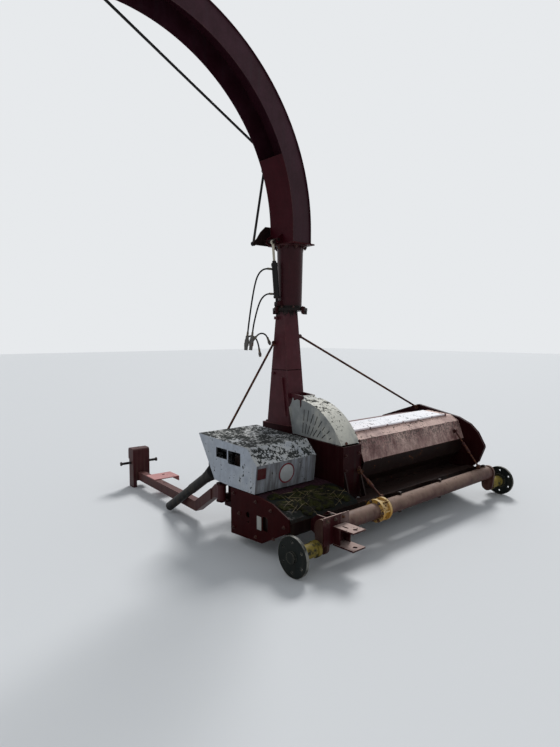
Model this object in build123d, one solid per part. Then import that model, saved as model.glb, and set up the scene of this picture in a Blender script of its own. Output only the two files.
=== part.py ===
from build123d import *
import math
import os

# A trailed flail forage harvester of the 2 m class, out of use, standing on its frame with its tyres gone.
# X is to the machine's right, Y forwards, Z up, in millimetres. The sizes below count from the point under
# the left hub disc; the last lines move the whole machine so that its middle on the floor is the origin.

os.makedirs("parts", exist_ok=True)

# Overall stations
SHEET = 4.0
PLATE = 10.0
RUN_GAP = 0.3
PIN_GAP = 0.05

# Running gear
AXLE_Z = 262.0
AXLE_R = 60.0
AXLE_WALL = 8.0
AXLE_LEFT, AXLE_RIGHT = 300.0, 2600.0
WHEEL_Z = 140.0
DISC_R = 140.0
DISC_T = 12.0
RIM_LIP = 10.0
STUB_R = 25.0
HUB_R = 50.0
HUB_LENGTH = 230.0
TRACK = 2870.0
WHEEL_BOLTS = 6
WHEEL_PCD = 205.0
WHEEL_BOLT_R = 9.0
COUPLING_X, COUPLING_R, COUPLING_T, COUPLING_GAP = 860.0, 88.0, 22.0, 62.0

# Left side frame, deck and beams
SIDE_X = 100.0
SIDE_OUTLINE = [(806, 420), (806, 60), (430, 80), (133, 243), (142, 333), (307, 399), (464, 420)]  # y, z
SIDE_HOLE = (597.0, 253.0, 23.0)
SIDE_SMALL_HOLE = (592.0, 200.0, 10.0)
SIDE_SLOT = (395.0, 232.0, 62.0, 110.0)
DECK_LINE = [(700, 414), (464, 411), (307, 390), (142, 322), (126, 305)]
BEAM = 90.0
REAR_BEAM_Y, REAR_BEAM_Z = 178.0, 255.0
RAIL_X, RAIL_W, RAIL_Z, RAIL_FRONT = 250.0, 80.0, 240.0, 1041.0
FRONT_BEAM_Y, FRONT_BEAM_Z = 1360.0, 490.0
FRONT_BEAM_LEFT = 300.0
GEAR_X, GEAR_Y = (165.0, 520.0), (560.0, 840.0)

# Blower housing, flywheel and chute
HOUSE_LEFT, HOUSE_RIGHT = 820.0, 1040.0
HOUSE_REAR, HOUSE_FRONT = 285.0, 1280.0
HOUSE_BOTTOM, HOUSE_TOP = 85.0, 800.0
WHEEL_Y, FLY_Z, FLY_R = 820.0, 450.0, 325.0
CHUTE_X, CHUTE_Y = 930.0, 1030.0
CHUTE_FOOT = (918.0, 1062.0)
CHUTE_HEAD = (909.0, 1049.0)
CHUTE_BASE = (206.0, 292.0)
CHUTE_NECK = (155.0, 112.0)
CHUTE_TOP = 1812.0
TURN_R, TURN_T = 155.0, 12.0
NECK_R = 97.0
COVER_ARC_Y, COVER_ARC_Z, COVER_ARC_R = 830.0, 470.0, 585.0
COVER_TURNS = (97.4, 154.4)
COVER_CROWN = COVER_ARC_Z + COVER_ARC_R
COVER_HINGE = (792.0, COVER_CROWN + 13)
COVER_BARREL = (862.0, 990.0)
DRIVE_PIVOT = (1264.0, 768.0)
COVER_WINDOWS = [(855.0, 1001.0, 627.0, 706.0), (684.0, 841.0, 600.0, 703.0)]  # y from, y to, z from, z to
SLOT_WIDE = 8.0
DASHES = [  # each slot as two dashes, (y, z) of their ends
    ((721, 971), (729, 874)), ((733, 856), (741, 767)), ((668, 968), (686, 871)), ((695, 850), (711, 764)),
    ((613, 944), (646, 860)), ((655, 840), (684, 762)), ((566, 928), (598, 851)), ((610, 833), (648, 758)),
    ((516, 893), (557, 837)), ((571, 816), (618, 756)), ((484, 853), (510, 818)), ((527, 812), (574, 753)),
    ((430, 825), (461, 797)), ((475, 789), (518, 752)), ((410, 773), (432, 757)),
]

# Flail hood, rotor and auger
HOOD_LEFT, END_X = 1040.0, 2600.0
HOOD_REAR_LINE = [(262, 565), (322, 735), (405, 783)]
HOOD_FRONT_LINE = [(664, 805), (1000, 742), (1290, 650), (1455, 580)]
LID_RIGHT, LID_RISE = 2480.0, 16.0
END_OUTLINE = [(97, 348), (34, 508), (110, 640), (192, 715), (324, 772), (801, 857), (1265, 690),
               (1450, 560), (1400, 300), (1150, 92), (400, 92)]
END_RIM = 36.0
FLAIL_Y, FLAIL_Z, FLAIL_TUBE_R, FLAIL_TIP_R = 985.0, 400.0, 84.0, 268.0
FLAIL_ROWS, FLAILS_A_ROW = 4, 9
AUGER_Y, AUGER_Z, AUGER_TUBE_R, AUGER_R = 560.0, 335.0, 57.0, 140.0
AUGER_STEP, AUGER_HALVES = 120.0, 12

# Spout
TURN_Z = CHUTE_TOP + TURN_T
COLLAR_R, COLLAR_TOP_R = 103.0, 116.0
COLLAR_TOP = 2383.0
SPOUT_BASE = COLLAR_TOP + TURN_T
SPOUT_DEPTH, SPOUT_WIDTH = 200.0, 300.0
ARCH_R, ARCH_Z, ARCH_TURN = 1520.0, 2510.0, 107.0
CLOSED_TURN = 24.5
LIP = 12.0
LINK_Y = CHUTE_Y + 185.0

# Deflector linkage, every pivot as (x, z) in the plane of the arch
CRANK = (786.0, 2422.0)
CRANK_ARM = (-110.0, -20.0)
ROCKER = (910.0, 3072.0)
ROCKER_ARM = (-60.0, 110.0)
EYE_ARM = (-40.0, -22.0)
FOOT = (795.0, 1872.0)
CYLINDER_R, ROD_R = 25.0, 11.0
LINK_PIN_R = 8.0
EYE_SLACK = 5.5
LINK_ROD_R = 11.0
BARREL_SHARE, GLAND_SHARE = 0.66, 0.70
HINGE_R = ARCH_R + SPOUT_DEPTH / 2 + 12
FLAP_HINGE = (CHUTE_X - ARCH_R + HINGE_R * math.cos(math.radians(ARCH_TURN)),
              ARCH_Z + HINGE_R * math.sin(math.radians(ARCH_TURN)))
FLAP_RANGE = (-20.0, 25.0)

# Rear hitch
HITCH_LEFT, HITCH_RIGHT, HITCH_REAR = 302.0, 428.0, -266.0
HITCH_LOW, HITCH_TOP = 178.0, 290.0
HITCH_BACK = -140.0
HITCH_PIN_X, HITCH_PIN_Y, HITCH_PIN_R = 365.0, -228.0, 16.0
HITCH_RIB, HITCH_RIB_Y = (215.0, 468.0, 372.0), -84.0  # x from, x to, top

# Drawbar and drive shaft
HITCH_X, HITCH_Y = 150.0, 1000.0
HEAD_X, HEAD_Y = 290.0, 2700.0
KNUCKLE_R, KNUCKLE_LOW, KNUCKLE_HIGH = 37.0, 268.0, 392.0
KING_PIN_R = 15.0
SHAFT_X, SHAFT_Y, SHAFT_Z = 170.0, 1100.0, 490.0
SHAFT_END_X, SHAFT_END_Y, SHAFT_END_Z = 96.0, 1738.0, 44.0
DRAW_W, DRAW_PIN_R = 70.0, 16.0

# Hoses: each route is chosen by hand
HOSE_R = 7.0
HOSES = {
    "hose_a": [(736, 1050, 1956), (692, 1050, 1956), (650, 1054, 1937), (618, 1064, 1898), (602, 1078, 1842),
               (595, 1104, 1764), (590.2, 1131.8, 1669), (584, 1138, 1592)],
    "hose_b": [(716, 1050, 2169), (668, 1050, 2169), (622, 1054, 2150), (588, 1064, 2108), (572, 1080, 2040),
               (564, 1102, 1940), (561, 1130, 1815), (559, 1157, 1679), (552, 1164, 1592)],
    "hose_c": [(608, 1138, 1566), (640, 1140, 1596), (682, 1144, 1615), (728, 1150, 1612), (768, 1158, 1590),
               (792, 1164, 1552)],
    "hose_d": [(558, 1204, 1500), (560, 1206, 1538), (579, 1208, 1571), (611, 1211, 1591), (651, 1214, 1592),
               (686, 1216, 1573), (709, 1217, 1538), (723, 1217, 1494), (730, 1215, 1450)],
}
COUPLER_A, COUPLER_B, COUPLER_DROP = (584, 1138, 1592), (552, 1164, 1592), (-10, 10, -124)

parts = {}


def block(x0, x1, y0, y1, z0, z1):
    return Pos((x0 + x1) / 2, (y0 + y1) / 2, (z0 + z1) / 2) * Box(x1 - x0, y1 - y0, z1 - z0)


def bar(start, end, radius):
    """A round bar from one point to another."""
    way = Vector(*end) - Vector(*start)
    return extrude(Plane(origin=start, z_dir=way) * Circle(radius), way.length)


def tube(start, end, outer, inner):
    return bar(start, end, outer) - bar(start, end, inner)


def outline_yz(points, x, thick):
    """A plate whose outline is given as (y, z), from x towards the right."""
    return Pos(x, 0, 0) * extrude(Plane.YZ * make_face(Polyline(*points, close=True)), thick)


def outline_xz(points, y, thick):
    """A plate whose outline is given as (x, z), from y forwards."""
    return Pos(0, y + thick, 0) * extrude(Plane.XZ * make_face(Polyline(*points, close=True)), thick)


def folded(points, thick):
    """The closed outline of a sheet folded along points, thick to the left of the way they run."""
    shifted = []
    for i, (a, b) in enumerate(points):
        normals = []
        for (p, q) in zip(points[max(i - 1, 0):i + 1], points[max(i - 1, 0) + 1:i + 2]):
            run = math.hypot(q[0] - p[0], q[1] - p[1])
            normals.append(((p[1] - q[1]) / run, (q[0] - p[0]) / run))
        u = sum(n[0] for n in normals) / len(normals)
        v = sum(n[1] for n in normals) / len(normals)
        scale = thick / (u * u + v * v)
        shifted.append((a + u * scale, b + v * scale))
    return list(points) + shifted[::-1]


def along(start, end, share):
    return tuple(a + (b - a) * share for a, b in zip(start, end))


def hub_disc(x_disc, inward):
    """The bare wheel disc with its pale rolled rim, and the hub that turns on the stub axle behind it."""
    x_in = x_disc + inward * DISC_T
    disc = bar((x_disc, 0, WHEEL_Z), (x_in, 0, WHEEL_Z), DISC_R)
    disc += tube((x_disc, 0, WHEEL_Z), (x_in + inward * RIM_LIP, 0, WHEEL_Z), DISC_R, DISC_R - 5)
    for i in range(WHEEL_BOLTS):
        turn = math.radians(360 / WHEEL_BOLTS * i + 30)
        y = WHEEL_PCD / 2 * math.cos(turn)
        z = WHEEL_Z + WHEEL_PCD / 2 * math.sin(turn)
        disc -= bar((x_disc - inward, y, z), (x_in + inward, y, z), WHEEL_BOLT_R)
    hub_end = x_disc + inward * HUB_LENGTH
    disc += bar((x_in, 0, WHEEL_Z), (hub_end, 0, WHEEL_Z), HUB_R)
    disc += bar((x_in, 0, WHEEL_Z), (x_in + inward * 24, 0, WHEEL_Z), HUB_R + 18)
    disc += bar((hub_end - inward * 30, 0, WHEEL_Z), (hub_end, 0, WHEEL_Z), HUB_R + 8)
    disc += bar((x_disc, 0, WHEEL_Z), (x_disc - inward * 18, 0, WHEEL_Z), STUB_R + 14)
    bore_start = x_disc + inward * 10
    return disc - bar((bore_start, 0, WHEEL_Z), (hub_end + inward, 0, WHEEL_Z), STUB_R + PIN_GAP)


def axle():
    """The axle tube, with a crank plate and a stub at each end that carry the hubs lower than the tube."""
    left, right = AXLE_LEFT, AXLE_RIGHT
    tube_all = tube((left, 0, AXLE_Z), (right, 0, AXLE_Z), AXLE_R, AXLE_R - AXLE_WALL)
    for end, way, disc_x in ((left, -1, 0.0), (right, 1, TRACK)):
        crank = make_hull(
            (Pos(0, AXLE_Z) * Circle(AXLE_R + 8)).edges() + (Pos(0, WHEEL_Z) * Circle(STUB_R + 30)).edges()
        )
        plate = extrude(Plane.YZ * crank, 25 * way)
        tube_all += Pos(end, 0, 0) * plate
        stub_end = disc_x - way * 14
        tube_all += bar((end, 0, WHEEL_Z), (stub_end, 0, WHEEL_Z), STUB_R)
    return tube_all


def axle_coupling():
    """The bolted pair of flanges round the axle tube."""
    body = None
    far = COUPLING_X + COUPLING_T + COUPLING_GAP
    for x in (COUPLING_X, far):
        ring = tube((x, 0, AXLE_Z), (x + COUPLING_T, 0, AXLE_Z), COUPLING_R, AXLE_R + PIN_GAP)
        body = ring if body is None else body + ring
    body += tube((COUPLING_X, 0, AXLE_Z), (far + COUPLING_T, 0, AXLE_Z), AXLE_R + 8, AXLE_R + PIN_GAP)
    for i in range(6):
        turn = math.radians(60 * i)
        y = (COUPLING_R - 11) * math.cos(turn)
        z = AXLE_Z + (COUPLING_R - 11) * math.sin(turn)
        body += bar((COUPLING_X - 10, y, z), (far + COUPLING_T + 10, y, z), 6)
    return body


def side_frame():
    """The flat left side plate, with its front edge turned inwards and its hand holes."""
    body = outline_yz(SIDE_OUTLINE, SIDE_X, PLATE)
    front_y = SIDE_OUTLINE[0][0]
    body += block(SIDE_X, SIDE_X + 60, front_y - PLATE, front_y, SIDE_OUTLINE[1][1], SIDE_OUTLINE[0][1])
    for y, z, radius in (SIDE_HOLE, SIDE_SMALL_HOLE):
        body -= bar((SIDE_X - 1, y, z), (SIDE_X + PLATE + 1, y, z), radius)
    y, z, wide, high = SIDE_SLOT
    slot = Plane.YZ * (Pos(y, z) * RectangleRounded(wide, high, wide * 0.3))
    body -= Pos(SIDE_X - 1, 0, 0) * extrude(slot, PLATE + 2)
    return body


def deck():
    """The sloping sheet between the side plate and the blower housing."""
    body = outline_yz(folded(DECK_LINE, 5), SIDE_X + PLATE, HOUSE_LEFT - SIDE_X - PLATE)
    return body - block(SIDE_X, GEAR_X[1] + 20, GEAR_Y[0] - 22, DECK_LINE[0][0] + 1, 400, 430)


def rear_beam():
    """The square rear beam, the saddles that hold the axle tube and the tongues to the housing."""
    y0, y1 = REAR_BEAM_Y - BEAM / 2, REAR_BEAM_Y + BEAM / 2
    z0, z1 = REAR_BEAM_Z - BEAM / 2, REAR_BEAM_Z + BEAM / 2
    left, right = SIDE_X + PLATE, END_X
    body = block(left, right, y0, y1, z0, z1) - block(left - 1, right + 1, y0 + 6, y1 - 6, z0 + 6, z1 - 6)
    saddle_line = [(y0 + 3, z0 + 5), (y0 + 3, z1 - 5), (20, AXLE_Z + AXLE_R + 22), (0, AXLE_Z + AXLE_R + 22),
                   (0, AXLE_Z - AXLE_R - 22), (30, AXLE_Z - AXLE_R - 22)]
    hole = bar((left, 0, AXLE_Z), (right, 0, AXLE_Z), AXLE_R)
    for x in (380.0, 1180.0, 1760.0, 2530.0):
        body += outline_yz(saddle_line, x, 24) - hole
    for x in (HOUSE_LEFT + 10, HOUSE_RIGHT - 22):
        tongue = [(y1 - 3, z0 + 10), (y1 - 3, z1 - 8), (HOUSE_REAR, 510), (HOUSE_REAR, 430), (HOUSE_REAR - 25, z0 + 70)]
        body += outline_yz(tongue, x, 12)
    return body


def left_rail():
    """The rail under the gearbox, with the lugs and the king pin of the drawbar at its front."""
    x0, x1 = RAIL_X - RAIL_W / 2, RAIL_X + RAIL_W / 2
    z0, z1 = RAIL_Z - RAIL_W / 2, RAIL_Z + RAIL_W / 2
    y_rear = REAR_BEAM_Y + BEAM / 2
    body = block(x0, x1, y_rear, RAIL_FRONT, z0, z1)
    body -= block(x0 + 8, x1 - 8, y_rear + 20, RAIL_FRONT - 20, z0 - 1, z1 - 8)
    for z in (KNUCKLE_LOW - RUN_GAP - 12, KNUCKLE_HIGH + RUN_GAP):
        body += block(HITCH_X, x0 + 12, HITCH_Y - 60, HITCH_Y + 40, z, z + 12)
        body += bar((HITCH_X, HITCH_Y, z), (HITCH_X, HITCH_Y, z + 12), KNUCKLE_R + 6)
    body += block(x0, x0 + 12, HITCH_Y - 60, HITCH_Y - 8, z1 - 1, KNUCKLE_HIGH + RUN_GAP + 12)
    body += block(x0, x1, HITCH_Y - 20, HITCH_Y + 40, z1 - 1, z1 + 20)
    return body + bar((HITCH_X, HITCH_Y, KNUCKLE_LOW - 24), (HITCH_X, HITCH_Y, KNUCKLE_HIGH + 30), KING_PIN_R)


def front_beam():
    """The square front beam with its tongue to the housing and the end cap on its left."""
    y0, y1 = FRONT_BEAM_Y - BEAM / 2, FRONT_BEAM_Y + BEAM / 2
    z0, z1 = FRONT_BEAM_Z - BEAM / 2, FRONT_BEAM_Z + BEAM / 2
    body = block(FRONT_BEAM_LEFT, END_X, y0, y1, z0, z1)
    body -= block(FRONT_BEAM_LEFT + 8, END_X + 1, y0 + 6, y1 - 6, z0 + 6, z1 - 6)
    for x in (HOUSE_LEFT + 10, HOUSE_RIGHT - 22):
        body += block(x, x + 12, HOUSE_FRONT, y0 + 3, z0 + 8, z1 - 8)
    return body


def gearbox():
    """The main gear case with cooling ribs, the input boss and the side boss towards the flywheel."""
    (x0, x1), (y0, y1), (z0, z1) = GEAR_X, GEAR_Y, (RAIL_Z + RAIL_W / 2, 660.0)
    body = block(x0, x1, y0, y1, z0 + 30, z1)
    body = fillet(body.edges().filter_by(Axis.X), 40)
    body += block(RAIL_X - RAIL_W / 2, RAIL_X + RAIL_W / 2, y0 + 20, y1 - 20, z0, z0 + 60)
    for i in range(5):
        x = x0 + 44 + i * 62
        body += block(x, x + 10, y0 - 14, y1 - 50, z0 + 90, z1 + 14)
    body += bar((SHAFT_X, y1 - 60, SHAFT_Z), (SHAFT_X, 970, SHAFT_Z), 50)
    body += bar((SHAFT_X, 969, SHAFT_Z), (SHAFT_X, SHAFT_Y - 60, SHAFT_Z), 17)
    body += bar((x1 - 5, WHEEL_Y, FLY_Z), (x1 + 50, WHEEL_Y, FLY_Z), 70)
    return body - bar((x1 - 2, WHEEL_Y, FLY_Z), (x1 + 51, WHEEL_Y, FLY_Z), 30 + PIN_GAP)


def house_face(inset):
    """The drum's side outline with its bottom corners rounded, drawn inwards by inset."""
    rear, front = HOUSE_REAR + inset, HOUSE_FRONT - inset
    bottom = HOUSE_BOTTOM + inset
    radius = 340.0 - inset
    face = make_face(Polyline((rear, 712), (rear, bottom), (front, bottom), (front, HOUSE_TOP),
                              (787, HOUSE_TOP), (787, 742), close=True))
    low = [v for v in face.vertices() if v.Y < bottom + 1]
    return fillet(low, radius)


def blower_housing():
    """The flywheel's sheet drum, open above under the quarter cover and into the chute, with its side intake."""
    body = extrude(Plane.YZ * house_face(0), HOUSE_RIGHT - HOUSE_LEFT)
    inner = extrude(Plane.YZ * house_face(SHEET), HOUSE_RIGHT - HOUSE_LEFT - 2 * SHEET)
    roof = block(SHEET, HOUSE_RIGHT - HOUSE_LEFT - SHEET, HOUSE_REAR + SHEET, HOUSE_FRONT - SHEET, 700, HOUSE_TOP + 1)
    body = body - Pos(SHEET, 0, 0) * inner - roof
    body = Pos(HOUSE_LEFT, 0, 0) * body
    body -= bar((HOUSE_RIGHT - 10, AUGER_Y, AUGER_Z), (HOUSE_RIGHT + 1, AUGER_Y, AUGER_Z), AUGER_R + 12)
    body -= bar((HOUSE_LEFT - 1, WHEEL_Y, FLY_Z), (HOUSE_LEFT + SHEET + 1, WHEEL_Y, FLY_Z), 30 + 5)
    for y, z in ((WHEEL_Y, FLY_Z), (FLAIL_Y, FLAIL_Z)):
        body += bar((HOUSE_RIGHT - SHEET, y, z), (HOUSE_RIGHT + 28, y, z), 52)
        body -= bar((HOUSE_RIGHT - SHEET - 1, y, z), (HOUSE_RIGHT + 29, y, z), 30 + PIN_GAP)
    return body


def chute_shell(inset):
    """The chute's tapering inside or outside, drawn inwards by inset."""
    return loft([
        Pos(*CHUTE_FOOT, HOUSE_TOP) * Rectangle(CHUTE_BASE[0] - 2 * inset, CHUTE_BASE[1] - 2 * inset),
        Pos(*CHUTE_HEAD, CHUTE_TOP) * Rectangle(CHUTE_NECK[0] - 2 * inset, CHUTE_NECK[1] - 2 * inset),
    ], ruled=True)


def chute():
    """The tapering lower chute with its rib and latches, its neck and turntable, and the quarter cover's hinge ears."""
    outer, inner = chute_shell(0), chute_shell(SHEET)
    body = outer - inner
    body += block(CHUTE_FOOT[0] - 113, CHUTE_FOOT[0] - 80, 1068, 1104, 1738, 1764) - inner
    body += block(CHUTE_FOOT[0] - 114, CHUTE_FOOT[0] - 90, 1112, 1142, 1246, 1268) - inner
    body += outline_yz([(1000, 1225), (1018, 1225), (967, 890), (949, 890)], CHUTE_FOOT[0] - 112, 22) - inner
    passage = bar((CHUTE_X, CHUTE_Y, CHUTE_TOP - 1), (CHUTE_X, CHUTE_Y, TURN_Z + 1), NECK_R - 9)
    passage &= Pos(*CHUTE_HEAD, CHUTE_TOP) * Box(CHUTE_NECK[0] - 2 * SHEET, CHUTE_NECK[1] - 2 * SHEET, 60)
    body += bar((CHUTE_X, CHUTE_Y, CHUTE_TOP), (CHUTE_X, CHUTE_Y, TURN_Z), TURN_R) - passage
    body += tube((CHUTE_X, CHUTE_Y, TURN_Z), (CHUTE_X, CHUTE_Y, TURN_Z + 40), NECK_R, NECK_R - 8)
    for x, y in ((-1, -1), (1, -1), (-1, 1), (1, 1)):
        body += Pos(CHUTE_X + x * 112, CHUTE_Y + y * 76, CHUTE_TOP - 14) * Box(40, 12, 30)
    rim = block(HOUSE_LEFT, HOUSE_RIGHT, 787, HOUSE_FRONT, HOUSE_TOP, HOUSE_TOP + 6)
    rim += block(CHUTE_FOOT[0] - 106, HOUSE_LEFT + 1, 912, 1212, HOUSE_TOP, HOUSE_TOP + 6)
    rim -= inner
    y, z = COVER_HINGE
    for x in (COVER_BARREL[0] - 14, COVER_BARREL[1] + 4):
        body += outline_yz([(y - 8, z - 8), (y - 4, z + 9), (y + 165, z + 26), (y + 165, z - 30)], x, 10) - outer
    body += bar((COVER_BARREL[0] - 16, y, z), (COVER_BARREL[1] + 16, y, z), 5)
    return body + rim


def stay(top, wall_x, foot, floor_z, radius):
    """A round stay with flattened ends, a tab to the chute's wall above and a pad below."""
    length = math.dist(top, foot)
    body = bar(along(top, foot, 8 / length), along(top, foot, 1 - 8 / length), radius)
    for point in (top, foot):
        body += Pos(*point) * Cylinder(radius + 9, 2 * radius - 6, rotation=(90, 0, 0))
    x0, x1 = min(wall_x, top[0]), max(wall_x, top[0])
    body += block(x0, x1, top[1] - 7, top[1] + 7, top[2] - 8, top[2] + 8)
    return body + block(foot[0] - 16, foot[0] + 16, foot[1] - 14, foot[1] + 14, floor_z, foot[2] - 6)


def end_plate():
    """The right end plate, pressed as a shallow pan whose rim is turned outwards."""
    face = Plane.YZ * fillet(make_face(Polyline(*END_OUTLINE, close=True)).vertices(), 45)
    pan = extrude(face, END_RIM)
    hollow = extrude(offset(face, amount=-6, kind=Kind.INTERSECTION), END_RIM)
    body = pan - Pos(8, 0, 0) * hollow
    body = Pos(END_X, 0, 0) * body
    for y, z, radius in ((FLAIL_Y, FLAIL_Z, 30.0), (AUGER_Y, AUGER_Z, 22.0)):
        body += bar((END_X, y, z), (END_X + 30, y, z), radius + 30)
        body -= bar((END_X - 1, y, z), (END_X + 31, y, z), radius + PIN_GAP)
    return body


def hood_rear():
    """The fixed rear facets of the flail hood, with the fixed end of its top and the ears of the lid's hinge."""
    top_line = [*HOOD_REAR_LINE, HOOD_FRONT_LINE[0]]
    body = outline_yz(folded(HOOD_REAR_LINE, SHEET), HOOD_LEFT, LID_RIGHT + 6 - HOOD_LEFT)
    body += outline_yz(folded(top_line, SHEET), LID_RIGHT + 6, END_X - LID_RIGHT - 6)
    y, z = HOOD_REAR_LINE[-1]
    for x in (HOOD_LEFT, LID_RIGHT + 6):
        body += block(x, x + 8, y - 9, y + 9, z + 1, z + LID_RISE) + bar((x, y, z + LID_RISE), (x + 8, y, z + LID_RISE), 10)
    body += bar((HOOD_LEFT, y, z + LID_RISE), (LID_RIGHT + 10, y, z + LID_RISE), 5)
    return body


def hood_front():
    """The fixed front of the flail hood, ending in a lip over the crop."""
    return outline_yz(folded(HOOD_FRONT_LINE, SHEET), HOOD_LEFT, END_X - HOOD_LEFT)


def hood_lid():
    """The pale top panel that lifts on a long hinge at its rear edge."""
    y, z = HOOD_REAR_LINE[-1]
    y_end, z_end = HOOD_FRONT_LINE[0]
    line = [(y + 6, z + LID_RISE - 5), (y_end - 6, z_end + 9)]
    x0, x1 = HOOD_LEFT + 14, LID_RIGHT
    body = outline_yz(folded(line, SHEET), x0, x1 - x0)
    for i in range(6):
        start = x0 + i * (x1 - x0) / 6 + 10
        stop = start + (x1 - x0) / 6 - 24
        body += bar((start, y, z + LID_RISE), (stop, y, z + LID_RISE), 10)
    return body - bar((x0 - 1, y, z + LID_RISE), (x1 + 1, y, z + LID_RISE), 5 + PIN_GAP)


def auger_trough():
    """The rolled trough behind the rotor, from the hood's rear edge round under the auger to its front lip."""
    radius = AUGER_R + 14
    points = [(HOOD_REAR_LINE[0][0], HOOD_REAR_LINE[0][1] - 4), (300, 430)]
    for i in range(9):
        turn = math.radians(180 + 20 * i)
        points.append((AUGER_Y + radius * math.cos(turn), AUGER_Z + radius * math.sin(turn)))
    body = outline_yz(folded(points, -SHEET), HOOD_LEFT, END_X - HOOD_LEFT)
    return body + block(HOOD_LEFT, END_X, REAR_BEAM_Y + BEAM / 2, AUGER_Y - radius + 10, 268, 276)


def flail_rotor():
    """The mowing rotor: a tube with four staggered rows of cupped flails hung on lugs."""
    left, right = HOOD_LEFT + 30, END_X - 20
    body = bar((left, FLAIL_Y, FLAIL_Z), (right, FLAIL_Y, FLAIL_Z), FLAIL_TUBE_R)
    body += bar((right, FLAIL_Y, FLAIL_Z), (END_X + 24, FLAIL_Y, FLAIL_Z), 30)
    body += bar((HOUSE_RIGHT + 2, FLAIL_Y, FLAIL_Z), (left + 1, FLAIL_Y, FLAIL_Z), 30)
    pitch = (right - left - 120) / FLAILS_A_ROW
    for row in range(FLAIL_ROWS):
        turn = 360 / FLAIL_ROWS * row
        for i in range(FLAILS_A_ROW):
            x = left + 40 + (i + row / FLAIL_ROWS) * pitch
            flail = outline_yz([(-14, FLAIL_TUBE_R - 4), (14, FLAIL_TUBE_R - 4), (12, 215), (46, FLAIL_TIP_R - 8),
                                (30, FLAIL_TIP_R - 1), (-8, 232)], 0, 40)
            body += Pos(x, FLAIL_Y, FLAIL_Z) * (Rot(turn, 0, 0) * flail)
    return body


def cross_auger():
    """The cross auger that carries the crop to the flywheel: a tube with tilted half flights."""
    left, right = HOUSE_RIGHT + 12, END_X
    body = bar((left, AUGER_Y, AUGER_Z), (right - 8, AUGER_Y, AUGER_Z), AUGER_TUBE_R)
    body += bar((right - 9, AUGER_Y, AUGER_Z), (END_X + 24, AUGER_Y, AUGER_Z), 22)
    tilt = math.degrees(math.asin(AUGER_STEP / (2 * AUGER_R)))
    for i in range(AUGER_HALVES):
        side = 1 if i % 2 == 0 else -1
        half = bar((-3, 0, 0), (3, 0, 0), AUGER_R)
        half -= block(-4, 4, -side * (AUGER_R + 1) if side > 0 else 0, 0 if side > 0 else AUGER_R + 1,
                      -AUGER_R - 1, AUGER_R + 1)
        x = left + 66 + i * AUGER_STEP
        body += Pos(x, AUGER_Y, AUGER_Z) * (Rot(0, side * tilt, 0) * half)
    return body


def flywheel():
    """The chopping flywheel: disc, six paddles with knives, hub and shaft."""
    x = HOUSE_LEFT + 60
    body = bar((x, WHEEL_Y, FLY_Z), (x + 16, WHEEL_Y, FLY_Z), FLY_R)
    body += bar((x - 30, WHEEL_Y, FLY_Z), (x + 70, WHEEL_Y, FLY_Z), 70)
    body += bar((GEAR_X[1] + 30, WHEEL_Y, FLY_Z), (HOUSE_RIGHT + 26, WHEEL_Y, FLY_Z), 30)
    for i in range(6):
        paddle = block(16, 120, -6, 6, 150, FLY_R) + block(16, 30, -70, 6, 110, 150)
        knife = block(-14, 0, -20, 40, 130, FLY_R - 6)
        body += Pos(x, WHEEL_Y, FLY_Z) * (Rot(60 * i, 0, 0) * (paddle + knife))
    return body


def arch_face(inner, outer, start_z, turn):
    """The side outline of the spout between two radii: straight up from start_z, then round by turn degrees."""
    centre_x = CHUTE_X - ARCH_R
    out = CenterArc((centre_x, ARCH_Z), outer, 0, turn)
    back = CenterArc((centre_x, ARCH_Z), inner, 0, turn)
    edges = [
        Line((centre_x + outer, start_z), (centre_x + outer, ARCH_Z)),
        out,
        Line(out @ 1, back @ 1),
        back,
        Line((centre_x + inner, ARCH_Z), (centre_x + inner, start_z)),
        Line((centre_x + inner, start_z), (centre_x + outer, start_z)),
    ]
    return make_face(edges)


def arch_slab(inner, outer, y0, y1, turn, start_z=None):
    start_z = SPOUT_BASE if start_z is None else start_z
    return Pos(0, y1, 0) * extrude(Plane.XZ * arch_face(inner, outer, start_z, turn), y1 - y0)


def spout_edges():
    low, high = ARCH_R - SPOUT_DEPTH / 2, ARCH_R + SPOUT_DEPTH / 2
    return low, high, CHUTE_Y - SPOUT_WIDTH / 2, CHUTE_Y + SPOUT_WIDTH / 2


def spout_arch():
    """The spout's curved back sheet with a lip along each edge, and the pin of the flap's hinge at its end."""
    low, high, y0, y1 = spout_edges()
    body = arch_slab(high - SHEET, high, y0 - LIP, y1 + LIP, ARCH_TURN)
    hx, hz = FLAP_HINGE
    body += bar((hx, y0 + 10, hz), (hx, y1 - 10, hz), 13)
    return body + bar((hx, y0 - LIP - 22, hz), (hx, y1 + LIP + 22, hz), LINK_PIN_R)


def spout_sides():
    """The two curved side sheets, the far one with the pin that the rocker turns on."""
    low, high, y0, y1 = spout_edges()
    start = SPOUT_BASE + RUN_GAP
    near = arch_slab(low, high - SHEET, y0, y0 + SHEET, ARCH_TURN, start)
    far = arch_slab(low, high - SHEET, y1 - SHEET, y1, ARCH_TURN, start)
    far += bar((ROCKER[0], y1 - SHEET, ROCKER[1]), (ROCKER[0], LINK_Y + 8, ROCKER[1]), LINK_PIN_R)
    return [near, far]


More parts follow.
